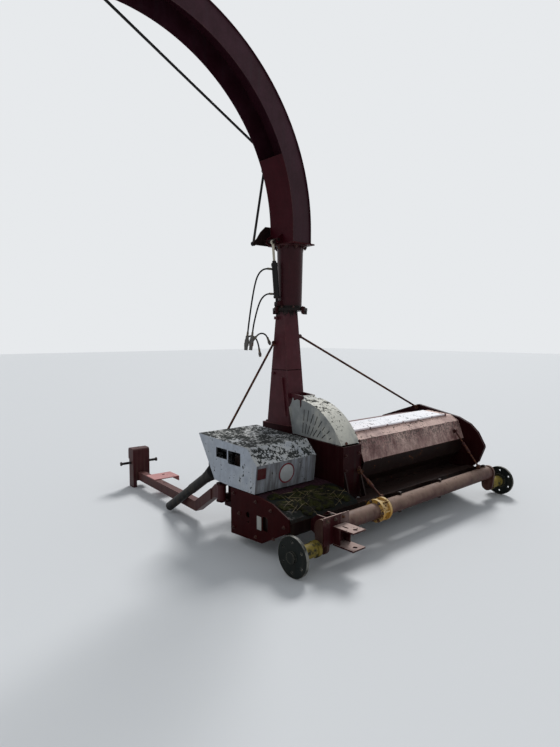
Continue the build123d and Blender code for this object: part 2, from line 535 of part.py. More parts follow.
def spout_foot():
    """The spout's bottom flange, the plate that closes its inner side low down and the cheeks of the crank."""
    low, high, y0, y1 = spout_edges()
    half = SPOUT_DEPTH / 2
    inner = SHEET + RUN_GAP
    body = arch_slab(low, low + SHEET, y0 + inner, y1 - inner, CLOSED_TURN)
    flange = block(CHUTE_X - half - 16, CHUTE_X + half + 40, y0 - 16, y1 + 16, COLLAR_TOP, SPOUT_BASE)
    body += flange - bar((CHUTE_X, CHUTE_Y, COLLAR_TOP - 1), (CHUTE_X, CHUTE_Y, SPOUT_BASE + 1), COLLAR_TOP_R - 8)
    x_in = CHUTE_X - half
    for y in (CHUTE_Y - 8, LINK_Y - 60):
        cheek = outline_xz([(x_in + 1, SPOUT_BASE - 1), (x_in + 1, CRANK[1] + 60), (CRANK[0] - 8, CRANK[1] + 26),
                            (CRANK[0] - 24, CRANK[1] - 14), (CRANK[0] - 10, SPOUT_BASE - 1)], y, 10)
        body += cheek - bar((CRANK[0], y - 1, CRANK[1]), (CRANK[0], y + 11, CRANK[1]), 15 + PIN_GAP)
    return body


def turn_collar():
    """The tapered turning collar on the turntable, with its top flange, gusset and the cylinder's foot bracket."""
    start = TURN_Z + RUN_GAP
    wall = [(NECK_R + PIN_GAP, start), (COLLAR_R, start), (COLLAR_TOP_R, COLLAR_TOP), (COLLAR_TOP_R - 6, COLLAR_TOP),
            (NECK_R + 1, start + 46), (NECK_R + PIN_GAP, start + 46)]
    body = Pos(CHUTE_X, CHUTE_Y, 0) * revolve(Plane.XZ * make_face(Polyline(*wall, close=True)), Axis.Z, 360)
    body += tube((CHUTE_X, CHUTE_Y, start), (CHUTE_X, CHUTE_Y, start + TURN_T), TURN_R, COLLAR_R - 1)
    body += tube((CHUTE_X, CHUTE_Y, COLLAR_TOP - TURN_T), (CHUTE_X, CHUTE_Y, COLLAR_TOP), TURN_R - 5, COLLAR_TOP_R - 2)
    body += outline_xz([(CHUTE_X + COLLAR_TOP_R - 7, COLLAR_TOP - 150), (CHUTE_X + 122, COLLAR_TOP - 150),
                        (CHUTE_X + 160, COLLAR_TOP - 14), (CHUTE_X + 160, COLLAR_TOP),
                        (CHUTE_X + COLLAR_TOP_R - 3, COLLAR_TOP)], CHUTE_Y - 8, 16)
    for y in (CHUTE_Y - 4, CHUTE_Y + 34):
        cheek = outline_xz([(CHUTE_X - COLLAR_R + 4, FOOT[1] - 40), (CHUTE_X - COLLAR_R + 4, FOOT[1] + 34),
                            (FOOT[0] - 12, FOOT[1] + 16), (FOOT[0] - 14, FOOT[1] - 16)], y, 10)
        body += cheek
    return body + bar((FOOT[0], CHUTE_Y - 8, FOOT[1]), (FOOT[0], CHUTE_Y + 48, FOOT[1]), LINK_PIN_R)


def flap():
    """The deflector flap: a short channel hung on the spout's end, with the horn that the long rod pulls."""
    hx, hz = FLAP_HINGE
    drop = ARCH_TURN + 22
    way = (-math.sin(math.radians(drop)), math.cos(math.radians(drop)))
    inward = (way[1], -way[0])
    length, depth = 430.0, 190.0
    y0 = CHUTE_Y - SPOUT_WIDTH / 2 - LIP - 6
    y1 = CHUTE_Y + SPOUT_WIDTH / 2 + LIP + 6

    def at(run, down):
        return (hx + way[0] * run - inward[0] * down, hz + way[1] * run - inward[1] * down)

    cheek_line = [at(-14, -14), at(length, -6), at(length, 60), at(260, depth), at(60, depth), at(-14, 20)]
    body = outline_xz(cheek_line, y0 - SHEET, SHEET)
    body += outline_xz(cheek_line, y1, SHEET)
    body += outline_xz([at(24, -10), at(length, -6), at(length, -6 + SHEET), at(24, -10 + SHEET)], y0 - 1, y1 - y0 + 2)
    pin_x, pin_z = hx + ROCKER_ARM[0], hz + ROCKER_ARM[1]
    horn = outline_xz([(hx + 22, hz - 8), (pin_x + 15, pin_z + 10), (pin_x - 10, pin_z + 16), (pin_x - 20, pin_z - 8),
                       (hx - 40, hz - 12)], y1 - 0.5, 6)
    body += horn
    body += bar((pin_x, y1, pin_z), (pin_x, LINK_Y + 30, pin_z), LINK_PIN_R)
    for y in (y0 - SHEET - 1, y1 - 1):
        body -= bar((hx, y, hz), (hx, y + 8, hz), LINK_PIN_R + PIN_GAP)
    return body


def bell_crank():
    """The cross shaft with its quarter round plate outside the spout and the short lever at the cylinder."""
    x, z = CRANK
    tip = (x + CRANK_ARM[0], z + CRANK_ARM[1])
    eye = (x + EYE_ARM[0], z + EYE_ARM[1])
    body = bar((x, CHUTE_Y - 14, z), (x, LINK_Y + 4, z), 15)
    plate = [(x + 92, z - 30), (x + 84, z + 140), (x + 14, z + 138), (x - 42, z + 88), (x - 88, z + 22),
             (tip[0] - 15, tip[1] + 10), (tip[0] - 11, tip[1] - 13)]
    body += outline_xz(plate, LINK_Y - 6, 10)
    body -= bar(tip_point((x + 44, z + 21), LINK_Y - 7), tip_point((x + 44, z + 21), LINK_Y + 5), 9)
    body += bar(tip_point(tip, LINK_Y - 6), tip_point(tip, LINK_Y + 30), LINK_PIN_R)
    for y in (CHUTE_Y + 4, CHUTE_Y + 34):
        lever = outline_xz([(x + 12, z + 16), (x - 14, z + 14), (eye[0] - 16, eye[1] + 6), (eye[0] - 8, eye[1] - 14),
                            (eye[0] + 12, eye[1] - 12), (x + 14, z - 12)], y, 8)
        body += lever
    return body + bar(tip_point(eye, CHUTE_Y + 4), tip_point(eye, CHUTE_Y + 42), 6)


def tip_point(point, y):
    return (point[0], y, point[1])


def link_rod(start, end, y, bore_r, radius):
    """A round rod with an eye at each end."""
    a, b = tip_point(start, y), tip_point(end, y)
    length = math.dist(a, b)
    body = bar(along(a, b, 12 / length), along(a, b, 1 - 12 / length), radius)
    for point in (start, end):
        body += bar(tip_point(point, y - 12), tip_point(point, y + 12), 20)
    for point, clear in ((start, PIN_GAP), (end, 1.0)):
        body -= bar(tip_point(point, y - 13), tip_point(point, y + 13), bore_r + clear)
    return body


def rocker_lever():
    """The two-armed lever on the spout's far wall that passes the lower rod's pull to the long rod."""
    x, z = ROCKER
    low = (x + CRANK_ARM[0], z + CRANK_ARM[1])
    top = (x + ROCKER_ARM[0], z + ROCKER_ARM[1])
    body = outline_xz([(x + 20, z - 14), (x + 14, z + 20), (top[0] + 16, top[1] + 10), (top[0] - 12, top[1] + 14),
                       (low[0] - 14, low[1] + 10), (low[0] - 6, low[1] - 16)], LINK_Y - 6, 10)
    for point in (low, top):
        body += bar(tip_point(point, LINK_Y - 6), tip_point(point, LINK_Y + 30), LINK_PIN_R)
    return body - bar((x, LINK_Y - 7, z), (x, LINK_Y + 5, z), LINK_PIN_R + PIN_GAP)


def cylinder_barrel():
    """The deflector cylinder's barrel with its foot eye, gland and two ports."""
    eye = (CRANK[0] + EYE_ARM[0], CRANK[1] + EYE_ARM[1])
    y = CHUTE_Y + 20
    foot, top = tip_point(FOOT, y), tip_point(eye, y)
    body = bar(along(foot, top, 0.02), along(foot, top, 0.10), 12.5)
    body += bar(along(foot, top, 0.09), along(foot, top, BARREL_SHARE + 0.01), CYLINDER_R)
    body += bar(along(foot, top, BARREL_SHARE), along(foot, top, GLAND_SHARE), CYLINDER_R - 7)
    body += bar((FOOT[0], y - 13, FOOT[1]), (FOOT[0], y + 13, FOOT[1]), 19)
    for route in (HOSES["hose_a"], HOSES["hose_b"]):
        port_x, port_y, port_z = route[0]
        axis_x = along(foot, top, (port_z - FOOT[1]) / (eye[1] - FOOT[1]))[0]
        body += bar((axis_x - 5, port_y, port_z), (port_x, port_y, port_z), 9)
    body -= bar(along(foot, top, 0.10), along(foot, top, 0.80), ROD_R + PIN_GAP)
    return body - bar((FOOT[0], y - 14, FOOT[1]), (FOOT[0], y + 14, FOOT[1]), LINK_PIN_R + PIN_GAP)


def cylinder_rod():
    """The bright rod with its eye on the crank's lever."""
    eye = (CRANK[0] + EYE_ARM[0], CRANK[1] + EYE_ARM[1])
    y = CHUTE_Y + 20 + 3
    axis_y = CHUTE_Y + 20
    foot, top = tip_point(FOOT, axis_y), tip_point(eye, axis_y)
    body = bar(along(foot, top, 0.30), along(foot, top, 0.965), ROD_R)
    body += bar(tip_point(eye, y - 9), tip_point(eye, y + 9), 19)
    return body - bar(tip_point(eye, y - 20), tip_point(eye, y + 20), 6 + EYE_SLACK)


def trailer_hitch():
    """The rear hitch for a wagon: two plates round the axle tube, two across them with the pin's hole, and a rib."""
    rear_face = REAR_BEAM_Y - BEAM / 2
    high, low = AXLE_Z + AXLE_R + 18, AXLE_Z - AXLE_R - 18
    side = [(rear_face, REAR_BEAM_Z - 40), (rear_face, REAR_BEAM_Z + 35), (74, high), (-70, high), (-84, HITCH_TOP + 8),
            (HITCH_BACK, HITCH_TOP + 8), (HITCH_BACK, HITCH_LOW - 8), (-95, HITCH_LOW - 8), (-60, low), (60, low)]
    body = outline_yz(side, HITCH_LEFT + 5, PLATE) + outline_yz(side, HITCH_RIGHT - 15, PLATE)
    body += block(HITCH_RIB[0], HITCH_RIB[1], HITCH_RIB_Y, HITCH_RIB_Y + PLATE, HITCH_LOW, HITCH_RIB[2])
    body -= bar((HITCH_RIB[0] - 1, 0, AXLE_Z), (HITCH_RIB[1] + 1, 0, AXLE_Z), AXLE_R)
    body += block(HITCH_LEFT, HITCH_RIGHT, HITCH_REAR, HITCH_RIB_Y + 1, HITCH_TOP, HITCH_TOP + PLATE)
    body += block(HITCH_LEFT, HITCH_RIGHT, HITCH_REAR, HITCH_RIB_Y + 1, HITCH_LOW - PLATE, HITCH_LOW)
    body -= block(HITCH_PIN_X - 22, HITCH_PIN_X - 8, -178, -128, HITCH_TOP - 1, HITCH_TOP + PLATE + 1)
    return body - bar((HITCH_PIN_X, HITCH_PIN_Y, HITCH_LOW - 20), (HITCH_PIN_X, HITCH_PIN_Y, HITCH_TOP + 20),
                      HITCH_PIN_R)


def transmission_cover():
    """The white folded cover over the drive, open below, lifting on the hinge along its front top edge."""
    line = [(1026, 436), (1249, 786), (601, 756), (489, 639), (515, 415)]
    outer = outline_yz(line, SIDE_X, 620)
    inner_line = [(1021, 434), (1243, 782), (603, 752), (493, 638), (519, 413)]
    inner = outline_yz(inner_line, SIDE_X + SHEET, 620 - 2 * SHEET)
    low = block(SIDE_X - 1, SIDE_X + 621, 400, 1100, 380, SIDE_OUTLINE[0][1] + 6)
    body = outer - inner - low
    body -= outline_yz([(560, 380), (600, 600), (1000, 640), (1010, 400)], SIDE_X + 600, 30)
    body -= block(SHAFT_X - 62, SHAFT_X + 62, 1000, 1160, 400, SHAFT_Z + 62)
    for y0, y1, z0, z1 in COVER_WINDOWS:
        body -= block(SIDE_X - 1, SIDE_X + SHEET + 1, y0, y1, z0, z1)
    hinge_y, hinge_z = DRIVE_PIVOT
    body += bar((330, hinge_y, hinge_z), (540, hinge_y, hinge_z), 12)
    body += outline_yz([(1240, 772), (1249, 786), (hinge_y + 4, hinge_z + 11), (hinge_y - 8, hinge_z - 8)], 330, 210)
    return body - bar((329, hinge_y, hinge_z), (541, hinge_y, hinge_z), 6 + PIN_GAP)


def cover_hinge():
    """The two brackets on the front beam that carry the white cover's hinge pin."""
    hinge_y, hinge_z = DRIVE_PIVOT
    foot_z = FRONT_BEAM_Z + BEAM / 2
    y0 = FRONT_BEAM_Y - BEAM / 2
    body = bar((FRONT_BEAM_LEFT, hinge_y, hinge_z), (572, hinge_y, hinge_z), 6)
    for x in (FRONT_BEAM_LEFT, 560.0):
        body += outline_yz([(y0, foot_z), (y0 + 70, foot_z), (hinge_y + 15, hinge_z + 3), (hinge_y + 4, hinge_z + 12),
                            (hinge_y - 9, hinge_z + 8), (hinge_y - 4, hinge_z - 15)], x, 10)
    return body


def cover_arc(radius, low_turn, high_turn, x0, x1, corners):
    """A plate bounded by an arc about the quarter cover's centre and by further corners, from x0 to x1."""
    arc = CenterArc((COVER_ARC_Y, COVER_ARC_Z), radius, low_turn, high_turn - low_turn)
    points = [arc @ 1, *corners, arc @ 0]
    lines = [Line(a, b) for a, b in zip(points, points[1:])]
    return Pos(x0, 0, 0) * extrude(Plane.YZ * make_face([arc, *lines]), x1 - x0)


def fan_cover():
    """The white quarter cover over the flywheel: a slotted side face, a curved band and the hinge barrel."""
    left = HOUSE_LEFT - 5 - SHEET
    edge = [(849, 748), (902, COVER_CROWN - 77)]
    corners = [*edge, (880, COVER_CROWN - 37), (866, COVER_CROWN + 5), (850, COVER_CROWN - 19),
               (806, COVER_CROWN - 5), (780, COVER_CROWN - 15), (774, COVER_CROWN - 83), (756, COVER_CROWN - 55)]
    body = cover_arc(COVER_ARC_R, COVER_TURNS[0], COVER_TURNS[1], left, left + SHEET, corners)
    band = cover_arc(COVER_ARC_R, COVER_TURNS[0], COVER_TURNS[1], left, HOUSE_RIGHT - 8, [])
    for top, low in DASHES:
        run = math.dist(top, low)
        dy, dz = (low[0] - top[0]) / run * SLOT_WIDE / 2, (low[1] - top[1]) / run * SLOT_WIDE / 2
        slot = [(top[0] - dz, top[1] + dy), (low[0] - dz, low[1] + dy), (low[0] + dz, low[1] - dy),
                (top[0] + dz, top[1] - dy)]
        body -= outline_yz(slot, left - 1, SHEET + 2)
    body += outline_yz([*edge, (898, COVER_CROWN - 76), (845, 749)], left - 12, 13)
    inside = bar((left - 1, COVER_ARC_Y, COVER_ARC_Z), (HOUSE_RIGHT, COVER_ARC_Y, COVER_ARC_Z), COVER_ARC_R - SHEET)
    body += band - inside
    y, z = COVER_HINGE
    x0, x1 = COVER_BARREL
    ear = [(736, COVER_CROWN - 13), (736, COVER_CROWN - 7), (y, z + 8), (y + 4, z - 6)]
    body += outline_yz(ear, x0, x1 - x0)
    body += bar((x0, y, z), (x1, y, z), 10)
    return body - bar((x0 - 1, y, z), (x1 + 1, y, z), 5 + PIN_GAP)


def axle_link(x, top, foot, wall):
    """An adjusting link from the body down to the axle tube: a turnbuckle between two eyes, each on a lug."""
    a, b = (x, *top), (x, *foot)
    body = bar(a, b, 8) + bar(along(a, b, 0.35), along(a, b, 0.62), 14)
    for point in (top, foot):
        body += bar((x - 12, *point), (x + 12, *point), 17)
    body += outline_yz([(top[0] - 8, top[1] + 8), *wall, (top[0] - 8, top[1] - 8)], x - 5, 10)
    y, z = foot
    lug = outline_yz([(y - 14, z + 4), (y + 14, z + 4), (y + 30, z - 60), (y - 30, z - 60)], x - 5, 10)
    return body + lug - bar((x - 20, 0, AXLE_Z), (x + 20, 0, AXLE_Z), AXLE_R)


def skids():
    """The two runners that the housing and the end plate stand on."""
    body = []
    for x, wide, rear, front, top in ((900, 60, 520, 1080, HOUSE_BOTTOM), (END_X, 44, 420, 1130, 92)):
        runner = [(rear, top), (rear + 20, 16), (rear + 70, 0), (front - 110, 0), (front - 20, 24), (front, top)]
        hollow = [(rear + 40, top + 1), (rear + 60, 22), (rear + 90, 8), (front - 120, 8), (front - 50, 30),
                  (front - 34, top + 1)]
        body.append(outline_yz(runner, x, wide) - outline_yz(hollow, x + 8, wide - 16))
    return body[0] + body[1]


def drawbar_frame():
    """Where the drawbar's own axes lie: its hinge at the origin and its head straight ahead."""
    swing = math.degrees(math.atan2(HEAD_X - HITCH_X, HEAD_Y - HITCH_Y))
    return Pos(HITCH_X, HITCH_Y, 0) * Rot(0, 0, -swing)


def drawbar_beam():
    """The cranked box beam, from the knuckle on the king pin down to the ground and forwards."""
    reach = math.hypot(HEAD_X - HITCH_X, HEAD_Y - HITCH_Y)
    neck = [(24, 280), (24, 380), (64, 384), (130, 330), (130, 236), (80, 270)]
    beam = [(120, 244), (120, 338), (400, 160), (reach - 60, 160), (reach - 60, 76), (380, 76)]
    body = outline_yz(neck, -26, 52) + outline_yz(beam, -DRAW_W / 2, DRAW_W)
    body += bar((0, 0, KNUCKLE_LOW), (0, 0, KNUCKLE_HIGH), KNUCKLE_R)
    body -= bar((0, 0, KNUCKLE_LOW - 1), (0, 0, KNUCKLE_HIGH + 1), KING_PIN_R + PIN_GAP)
    return drawbar_frame() * body


def drawbar_plate():
    """The faded side plate on the beam, with a hole and a bent lip."""
    body = block(-DRAW_W / 2, 230, 1230, 1440, 160, 168)
    body += block(222, 230, 1230, 1440, 120, 168)
    body -= bar((120, 1370, 150), (120, 1370, 170), 16)
    return drawbar_frame() * body


def drawbar_head():
    """The tall hitch head: a block on two legs that reach the ground, with the hole for the tractor's pin."""
    reach = math.hypot(HEAD_X - HITCH_X, HEAD_Y - HITCH_Y)
    rear, front = reach - 60, reach + 70
    body = block(-90, 90, rear, front, 290, 410)
    body = fillet(body.edges().filter_by(Axis.X).group_by(Axis.Z)[-1], 30)
    body += block(-90, -52, rear, front - 20, 0, 291) + block(52, 90, rear, front - 20, 90, 291)
    body += block(-53, 53, rear, rear + 20, 70, 291)
    body += block(-90, 90, rear, front - 20, 70, 92)
    body -= bar((0, front - 46, 280), (0, front - 46, 420), DRAW_PIN_R)
    for x0, x1 in ((-91, -51), (51, 91)):
        body -= bar((x0, (rear + front) / 2, 255), (x1, (rear + front) / 2, 255), 13 + PIN_GAP)
    return drawbar_frame() * body


def cross_bar():
    """The black bar through the head's legs."""
    reach = math.hypot(HEAD_X - HITCH_X, HEAD_Y - HITCH_Y)
    y = reach + 5
    body = bar((-200, y, 255), (200, y, 255), 13)
    for x in (-200, 188):
        body += bar((x, y, 255), (x + 12, y, 255), 20)
    return drawbar_frame() * body


def shaft_fork():
    """The fork on the gearbox's input, with bores across for the joint's cross."""
    body = bar((SHAFT_X, SHAFT_Y - 62, SHAFT_Z), (SHAFT_X, SHAFT_Y - 36, SHAFT_Z), 34)
    for x in (SHAFT_X - 34, SHAFT_X + 24):
        body += block(x, x + 10, SHAFT_Y - 37, SHAFT_Y, SHAFT_Z - 18, SHAFT_Z + 18)
        body += bar((x, SHAFT_Y, SHAFT_Z), (x + 10, SHAFT_Y, SHAFT_Z), 18)
        body -= bar((x - 1, SHAFT_Y, SHAFT_Z), (x + 11, SHAFT_Y, SHAFT_Z), 9 + PIN_GAP)
    return body


def shaft_line():
    start = (SHAFT_X, SHAFT_Y, SHAFT_Z)
    end = (SHAFT_END_X, SHAFT_END_Y, SHAFT_END_Z)
    return start, end


def drive_shaft():
    """The joint's cross, the front fork's root and the shaft inside the guard, ending in a splined stub."""
    start, end = shaft_line()
    body = bar((SHAFT_X - 36, SHAFT_Y, SHAFT_Z), (SHAFT_X + 36, SHAFT_Y, SHAFT_Z), 9)
    body += bar((SHAFT_X - 18, SHAFT_Y, SHAFT_Z), (SHAFT_X + 18, SHAFT_Y, SHAFT_Z), 16)
    return body + bar(start, along(start, end, 0.985), 17)


def shaft_guard():
    """The black plastic guard: a wide bell over the joint, then two tubes that slide in each other."""
    start, end = shaft_line()
    way = Vector(*end) - Vector(*start)
    length = way.length
    profile = [(18, 40), (56, 40), (60, 46), (44, 130), (43, 150), (43, 390), (39, 392), (39, length), (18, length)]
    sketch = make_face(Polyline(*[(r, z) for r, z in profile], close=True))
    turned = revolve(Plane.XZ * sketch, Axis.Z, 360)
    return Plane(origin=start, z_dir=way) * turned


def hose(points):
    """A hydraulic hose as straight runs joined by arcs as large as the runs allow."""
    radii = []
    for before, here, after in zip(points, points[1:], points[2:]):
        first = Vector(*here) - Vector(*before)
        second = Vector(*after) - Vector(*here)
        turn = math.radians(first.get_angle(second))
        radii.append(0.45 * min(first.length, second.length) / math.tan(turn / 2))
    print("hose bend radii", [round(r) for r in radii])
    path = FilletPolyline(*points, radius=radii)
    return sweep(Plane(origin=path @ 0, z_dir=path % 0) * Circle(HOSE_R), path)


def hose_couplers():
    """The pair of couplers that joins the hoses, held side by side by a clip."""
    body = None
    for (x, y, z), drop in ((COUPLER_A, COUPLER_DROP), (COUPLER_B, COUPLER_DROP)):
        low = (x + drop[0], y + drop[1], z + drop[2])
        piece = bar((x, y, z), low, 15) + bar(along((x, y, z), low, 0.25), along((x, y, z), low, 0.7), 19)
        body = piece if body is None else body + piece
    mid_a = along(COUPLER_A, [c + d for c, d in zip(COUPLER_A, COUPLER_DROP)], 0.45)
    mid_b = along(COUPLER_B, [c + d for c, d in zip(COUPLER_B, COUPLER_DROP)], 0.45)
    body += bar(mid_a, mid_b, 12)
    for route in (HOSES["hose_c"], HOSES["hose_d"]):
        start = Vector(*route[0])
        way = (Vector(*route[1]) - start).normalized()
        body += bar(tuple(start - way * 28), tuple(start), 9)
    low = [c + 0.9 * d for c, d in zip(COUPLER_B, COUPLER_DROP)]
    return body + bar(tuple(low), tuple(start - way * 18), 8)


def hose_plug(points):
    """The quick coupler on a hose's free end."""
    end, before = Vector(*points[-1]), Vector(*points[-2])
    way = (end - before).normalized()
    tip = end + way * 46
    mid = end + way * 12
    return bar(tuple(end), tuple(tip), 11) + bar(tuple(mid), tuple(end + way * 32), 14)


print("building")
parts["axle_tube"] = axle()
parts["axle_coupling"] = axle_coupling()
parts["left_hub"] = hub_disc(0.0, 1)
parts["right_hub"] = hub_disc(TRACK, -1)
parts["side_frame"] = side_frame()
parts["deck"] = deck()
parts["rear_beam"] = rear_beam()
parts["left_rail"] = left_rail()
parts["front_beam"] = front_beam()
parts["gearbox"] = gearbox() + shaft_fork()
parts["blower_housing"] = blower_housing()
parts["flywheel"] = flywheel()
parts["fan_cover"] = fan_cover()
parts["lower_chute"] = chute()
parts["right_stay"] = stay((1014, 990, 1588), 994.5, (END_X - 26, 801, 828), 807.2, 10)
parts["left_stay"] = stay((808, 1110, 1530), 826.7, (331, 1352, 556), FRONT_BEAM_Z + BEAM / 2, 10)
parts["hood_rear"] = hood_rear()
parts["hood_front"] = hood_front()
parts["hood_lid"] = hood_lid()
parts["end_plate"] = end_plate()
parts["auger_trough"] = auger_trough()
parts["flail_rotor"] = flail_rotor()
parts["cross_auger"] = cross_auger()
parts["left_link"] = axle_link(992.0, (262, 499), (42, 338), [(HOUSE_REAR, 520), (HOUSE_REAR, 480)])
parts["right_link"] = axle_link(2450.0, (266, 655), (14, 344), [(289.4, 655), (278.8, 625)])
parts["skids"] = skids()
parts["trailer_hitch"] = trailer_hitch()
parts["transmission_cover"] = transmission_cover()
parts["cover_hinge"] = cover_hinge()
parts["turn_collar"] = turn_collar()
parts["spout_arch"] = spout_arch()
parts["spout_sides"] = Compound(children=spout_sides())
parts["spout_foot"] = spout_foot()
parts["deflector_flap"] = flap()
parts["bell_crank"] = bell_crank()
crank_tip = (CRANK[0] + CRANK_ARM[0], CRANK[1] + CRANK_ARM[1])
rocker_low = (ROCKER[0] + CRANK_ARM[0], ROCKER[1] + CRANK_ARM[1])
rocker_top = (ROCKER[0] + ROCKER_ARM[0], ROCKER[1] + ROCKER_ARM[1])
horn_pin = (FLAP_HINGE[0] + ROCKER_ARM[0], FLAP_HINGE[1] + ROCKER_ARM[1])
parts["lower_rod"] = link_rod(crank_tip, rocker_low, LINK_Y + 17, LINK_PIN_R, LINK_ROD_R)
parts["long_rod"] = link_rod(rocker_top, horn_pin, LINK_Y + 17, LINK_PIN_R, LINK_ROD_R)
parts["rocker_lever"] = rocker_lever()
parts["cylinder_barrel"] = cylinder_barrel()
parts["cylinder_rod"] = cylinder_rod()
parts["drawbar_beam"] = drawbar_beam()
parts["drawbar_plate"] = drawbar_plate()
parts["drawbar_head"] = drawbar_head()
parts["cross_bar"] = cross_bar()
parts["drive_shaft"] = drive_shaft()
parts["shaft_guard"] = shaft_guard()
for name, route in HOSES.items():
    parts[name] = hose(route)
parts["hose_couplers"] = hose_couplers()
parts["hose_plugs"] = hose_plug(HOSES["hose_c"]) + hose_plug(HOSES["hose_d"])

cord_parts = [*HOSES, "hose_couplers", "hose_plugs"]
boxes = [shape.bounding_box() for name, shape in parts.items() if name not in cord_parts]
low = [min(box.min.X for box in boxes), min(box.min.Y for box in boxes), min(box.min.Z for box in boxes)]
high = [max(box.max.X for box in boxes), max(box.max.Y for box in boxes), max(box.max.Z for box in boxes)]
SHIFT = (-(low[0] + high[0]) / 2, -(low[1] + high[1]) / 2, -low[2])
print("shift", SHIFT, "size", [b - a for a, b in zip(low, high)])
for name, shape in parts.items():
    export_step(Pos(*SHIFT) * shape, f"parts/{name}.step")
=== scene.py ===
import bpy
import bmesh
import math
import random
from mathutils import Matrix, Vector


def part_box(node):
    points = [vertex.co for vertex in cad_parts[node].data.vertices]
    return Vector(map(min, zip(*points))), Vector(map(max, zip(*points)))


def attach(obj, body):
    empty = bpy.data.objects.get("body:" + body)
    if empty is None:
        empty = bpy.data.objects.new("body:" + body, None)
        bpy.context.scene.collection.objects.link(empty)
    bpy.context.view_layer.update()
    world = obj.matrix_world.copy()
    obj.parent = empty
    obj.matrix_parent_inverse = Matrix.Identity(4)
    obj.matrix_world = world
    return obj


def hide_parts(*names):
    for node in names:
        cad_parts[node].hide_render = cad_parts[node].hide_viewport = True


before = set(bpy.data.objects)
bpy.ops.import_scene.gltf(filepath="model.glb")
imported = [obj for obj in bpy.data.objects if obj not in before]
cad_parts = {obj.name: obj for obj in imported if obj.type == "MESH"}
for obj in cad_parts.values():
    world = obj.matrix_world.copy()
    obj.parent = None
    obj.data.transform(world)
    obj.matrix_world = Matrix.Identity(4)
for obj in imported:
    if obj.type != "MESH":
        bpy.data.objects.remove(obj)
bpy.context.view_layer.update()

# The view: a camera at eye height off the machine's left rear corner, a plain pale floor, and soft studio
# light that comes mostly from the front right and above, so that tops are brighter than the walls towards
# the eye.
HUB_BOSS = 0.018
EYE, HEADING, DIP = (-2.353, -2.524, 1.6), Vector((0.665, 0.747, 0.0)), math.radians(4.09)
LENS, SENSOR = 25.98, 36.0
BACKDROP = (0.80, 0.82, 0.84, 1)
SKY_LIGHT, SKY_STRENGTH = (0.90, 0.95, 1.0, 1), 0.50
SUN_FROM, SUN_STRENGTH, SUN_SIZE = Vector((0.66, 0.40, 0.70)), 2.5, math.radians(18)
FLOOR_SIZE, FLOOR_GREY, FLOOR_ROUGHNESS = 90, (0.62, 0.63, 0.64, 1), 0.9

hub_low, hub_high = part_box("left_hub")
ZERO = Vector((hub_low.x + HUB_BOSS, (hub_low.y + hub_high.y) / 2, 0))


def spot(x, y, z):
    """A place counted from the floor under the left hub disc: to the right, forwards and up."""
    return ZERO + Vector((x, y, z))


def deselect():
    bpy.ops.object.select_all(action="DESELECT")


camera = bpy.data.objects.new("camera", bpy.data.cameras.new("camera"))
camera.data.lens = LENS
camera.data.sensor_width = SENSOR
camera.location = spot(*EYE)
sight = HEADING.normalized() * math.cos(DIP) - Vector((0, 0, math.sin(DIP)))
camera.rotation_euler = sight.to_track_quat("-Z", "Y").to_euler()
bpy.context.scene.collection.objects.link(camera)
bpy.context.scene.camera = camera
bpy.context.scene.view_settings.view_transform = "Standard"

sun = bpy.data.objects.new("sun", bpy.data.lights.new("sun", "SUN"))
sun.data.energy = SUN_STRENGTH
sun.data.angle = SUN_SIZE
sun.rotation_euler = SUN_FROM.to_track_quat("Z", "Y").to_euler()
bpy.context.scene.collection.objects.link(sun)

world = bpy.data.worlds.new("studio")
bpy.context.scene.world = world
world.use_nodes = True
tree = world.node_tree
sky = tree.nodes["Background"]
sky.inputs["Color"].default_value = SKY_LIGHT
sky.inputs["Strength"].default_value = SKY_STRENGTH
wall = tree.nodes.new("ShaderNodeBackground")
wall.inputs["Color"].default_value = BACKDROP
rays = tree.nodes.new("ShaderNodeLightPath")
seen_or_mirrored = tree.nodes.new("ShaderNodeMath")
seen_or_mirrored.operation = "MAXIMUM"
seen_at_all = tree.nodes.new("ShaderNodeMath")
seen_at_all.operation = "MAXIMUM"
choice = tree.nodes.new("ShaderNodeMixShader")
link = tree.links.new
link(rays.outputs["Is Camera Ray"], seen_or_mirrored.inputs[0])
link(rays.outputs["Is Glossy Ray"], seen_or_mirrored.inputs[1])
link(seen_or_mirrored.outputs[0], seen_at_all.inputs[0])
link(rays.outputs["Is Transmission Ray"], seen_at_all.inputs[1])
link(seen_at_all.outputs[0], choice.inputs[0])
link(sky.outputs[0], choice.inputs[1])
link(wall.outputs[0], choice.inputs[2])
link(choice.outputs[0], tree.nodes["World Output"].inputs["Surface"])

deselect()
bpy.ops.mesh.primitive_plane_add(size=FLOOR_SIZE)
floor = bpy.context.object
floor.name = "floor"
floor_paint = bpy.data.materials.new("floor_paint")
floor_paint.use_nodes = True
floor_shader = floor_paint.node_tree.nodes["Principled BSDF"]
floor_shader.inputs["Base Color"].default_value = FLOOR_GREY
floor_shader.inputs["Roughness"].default_value = FLOOR_ROUGHNESS
floor.data.materials.append(floor_paint)

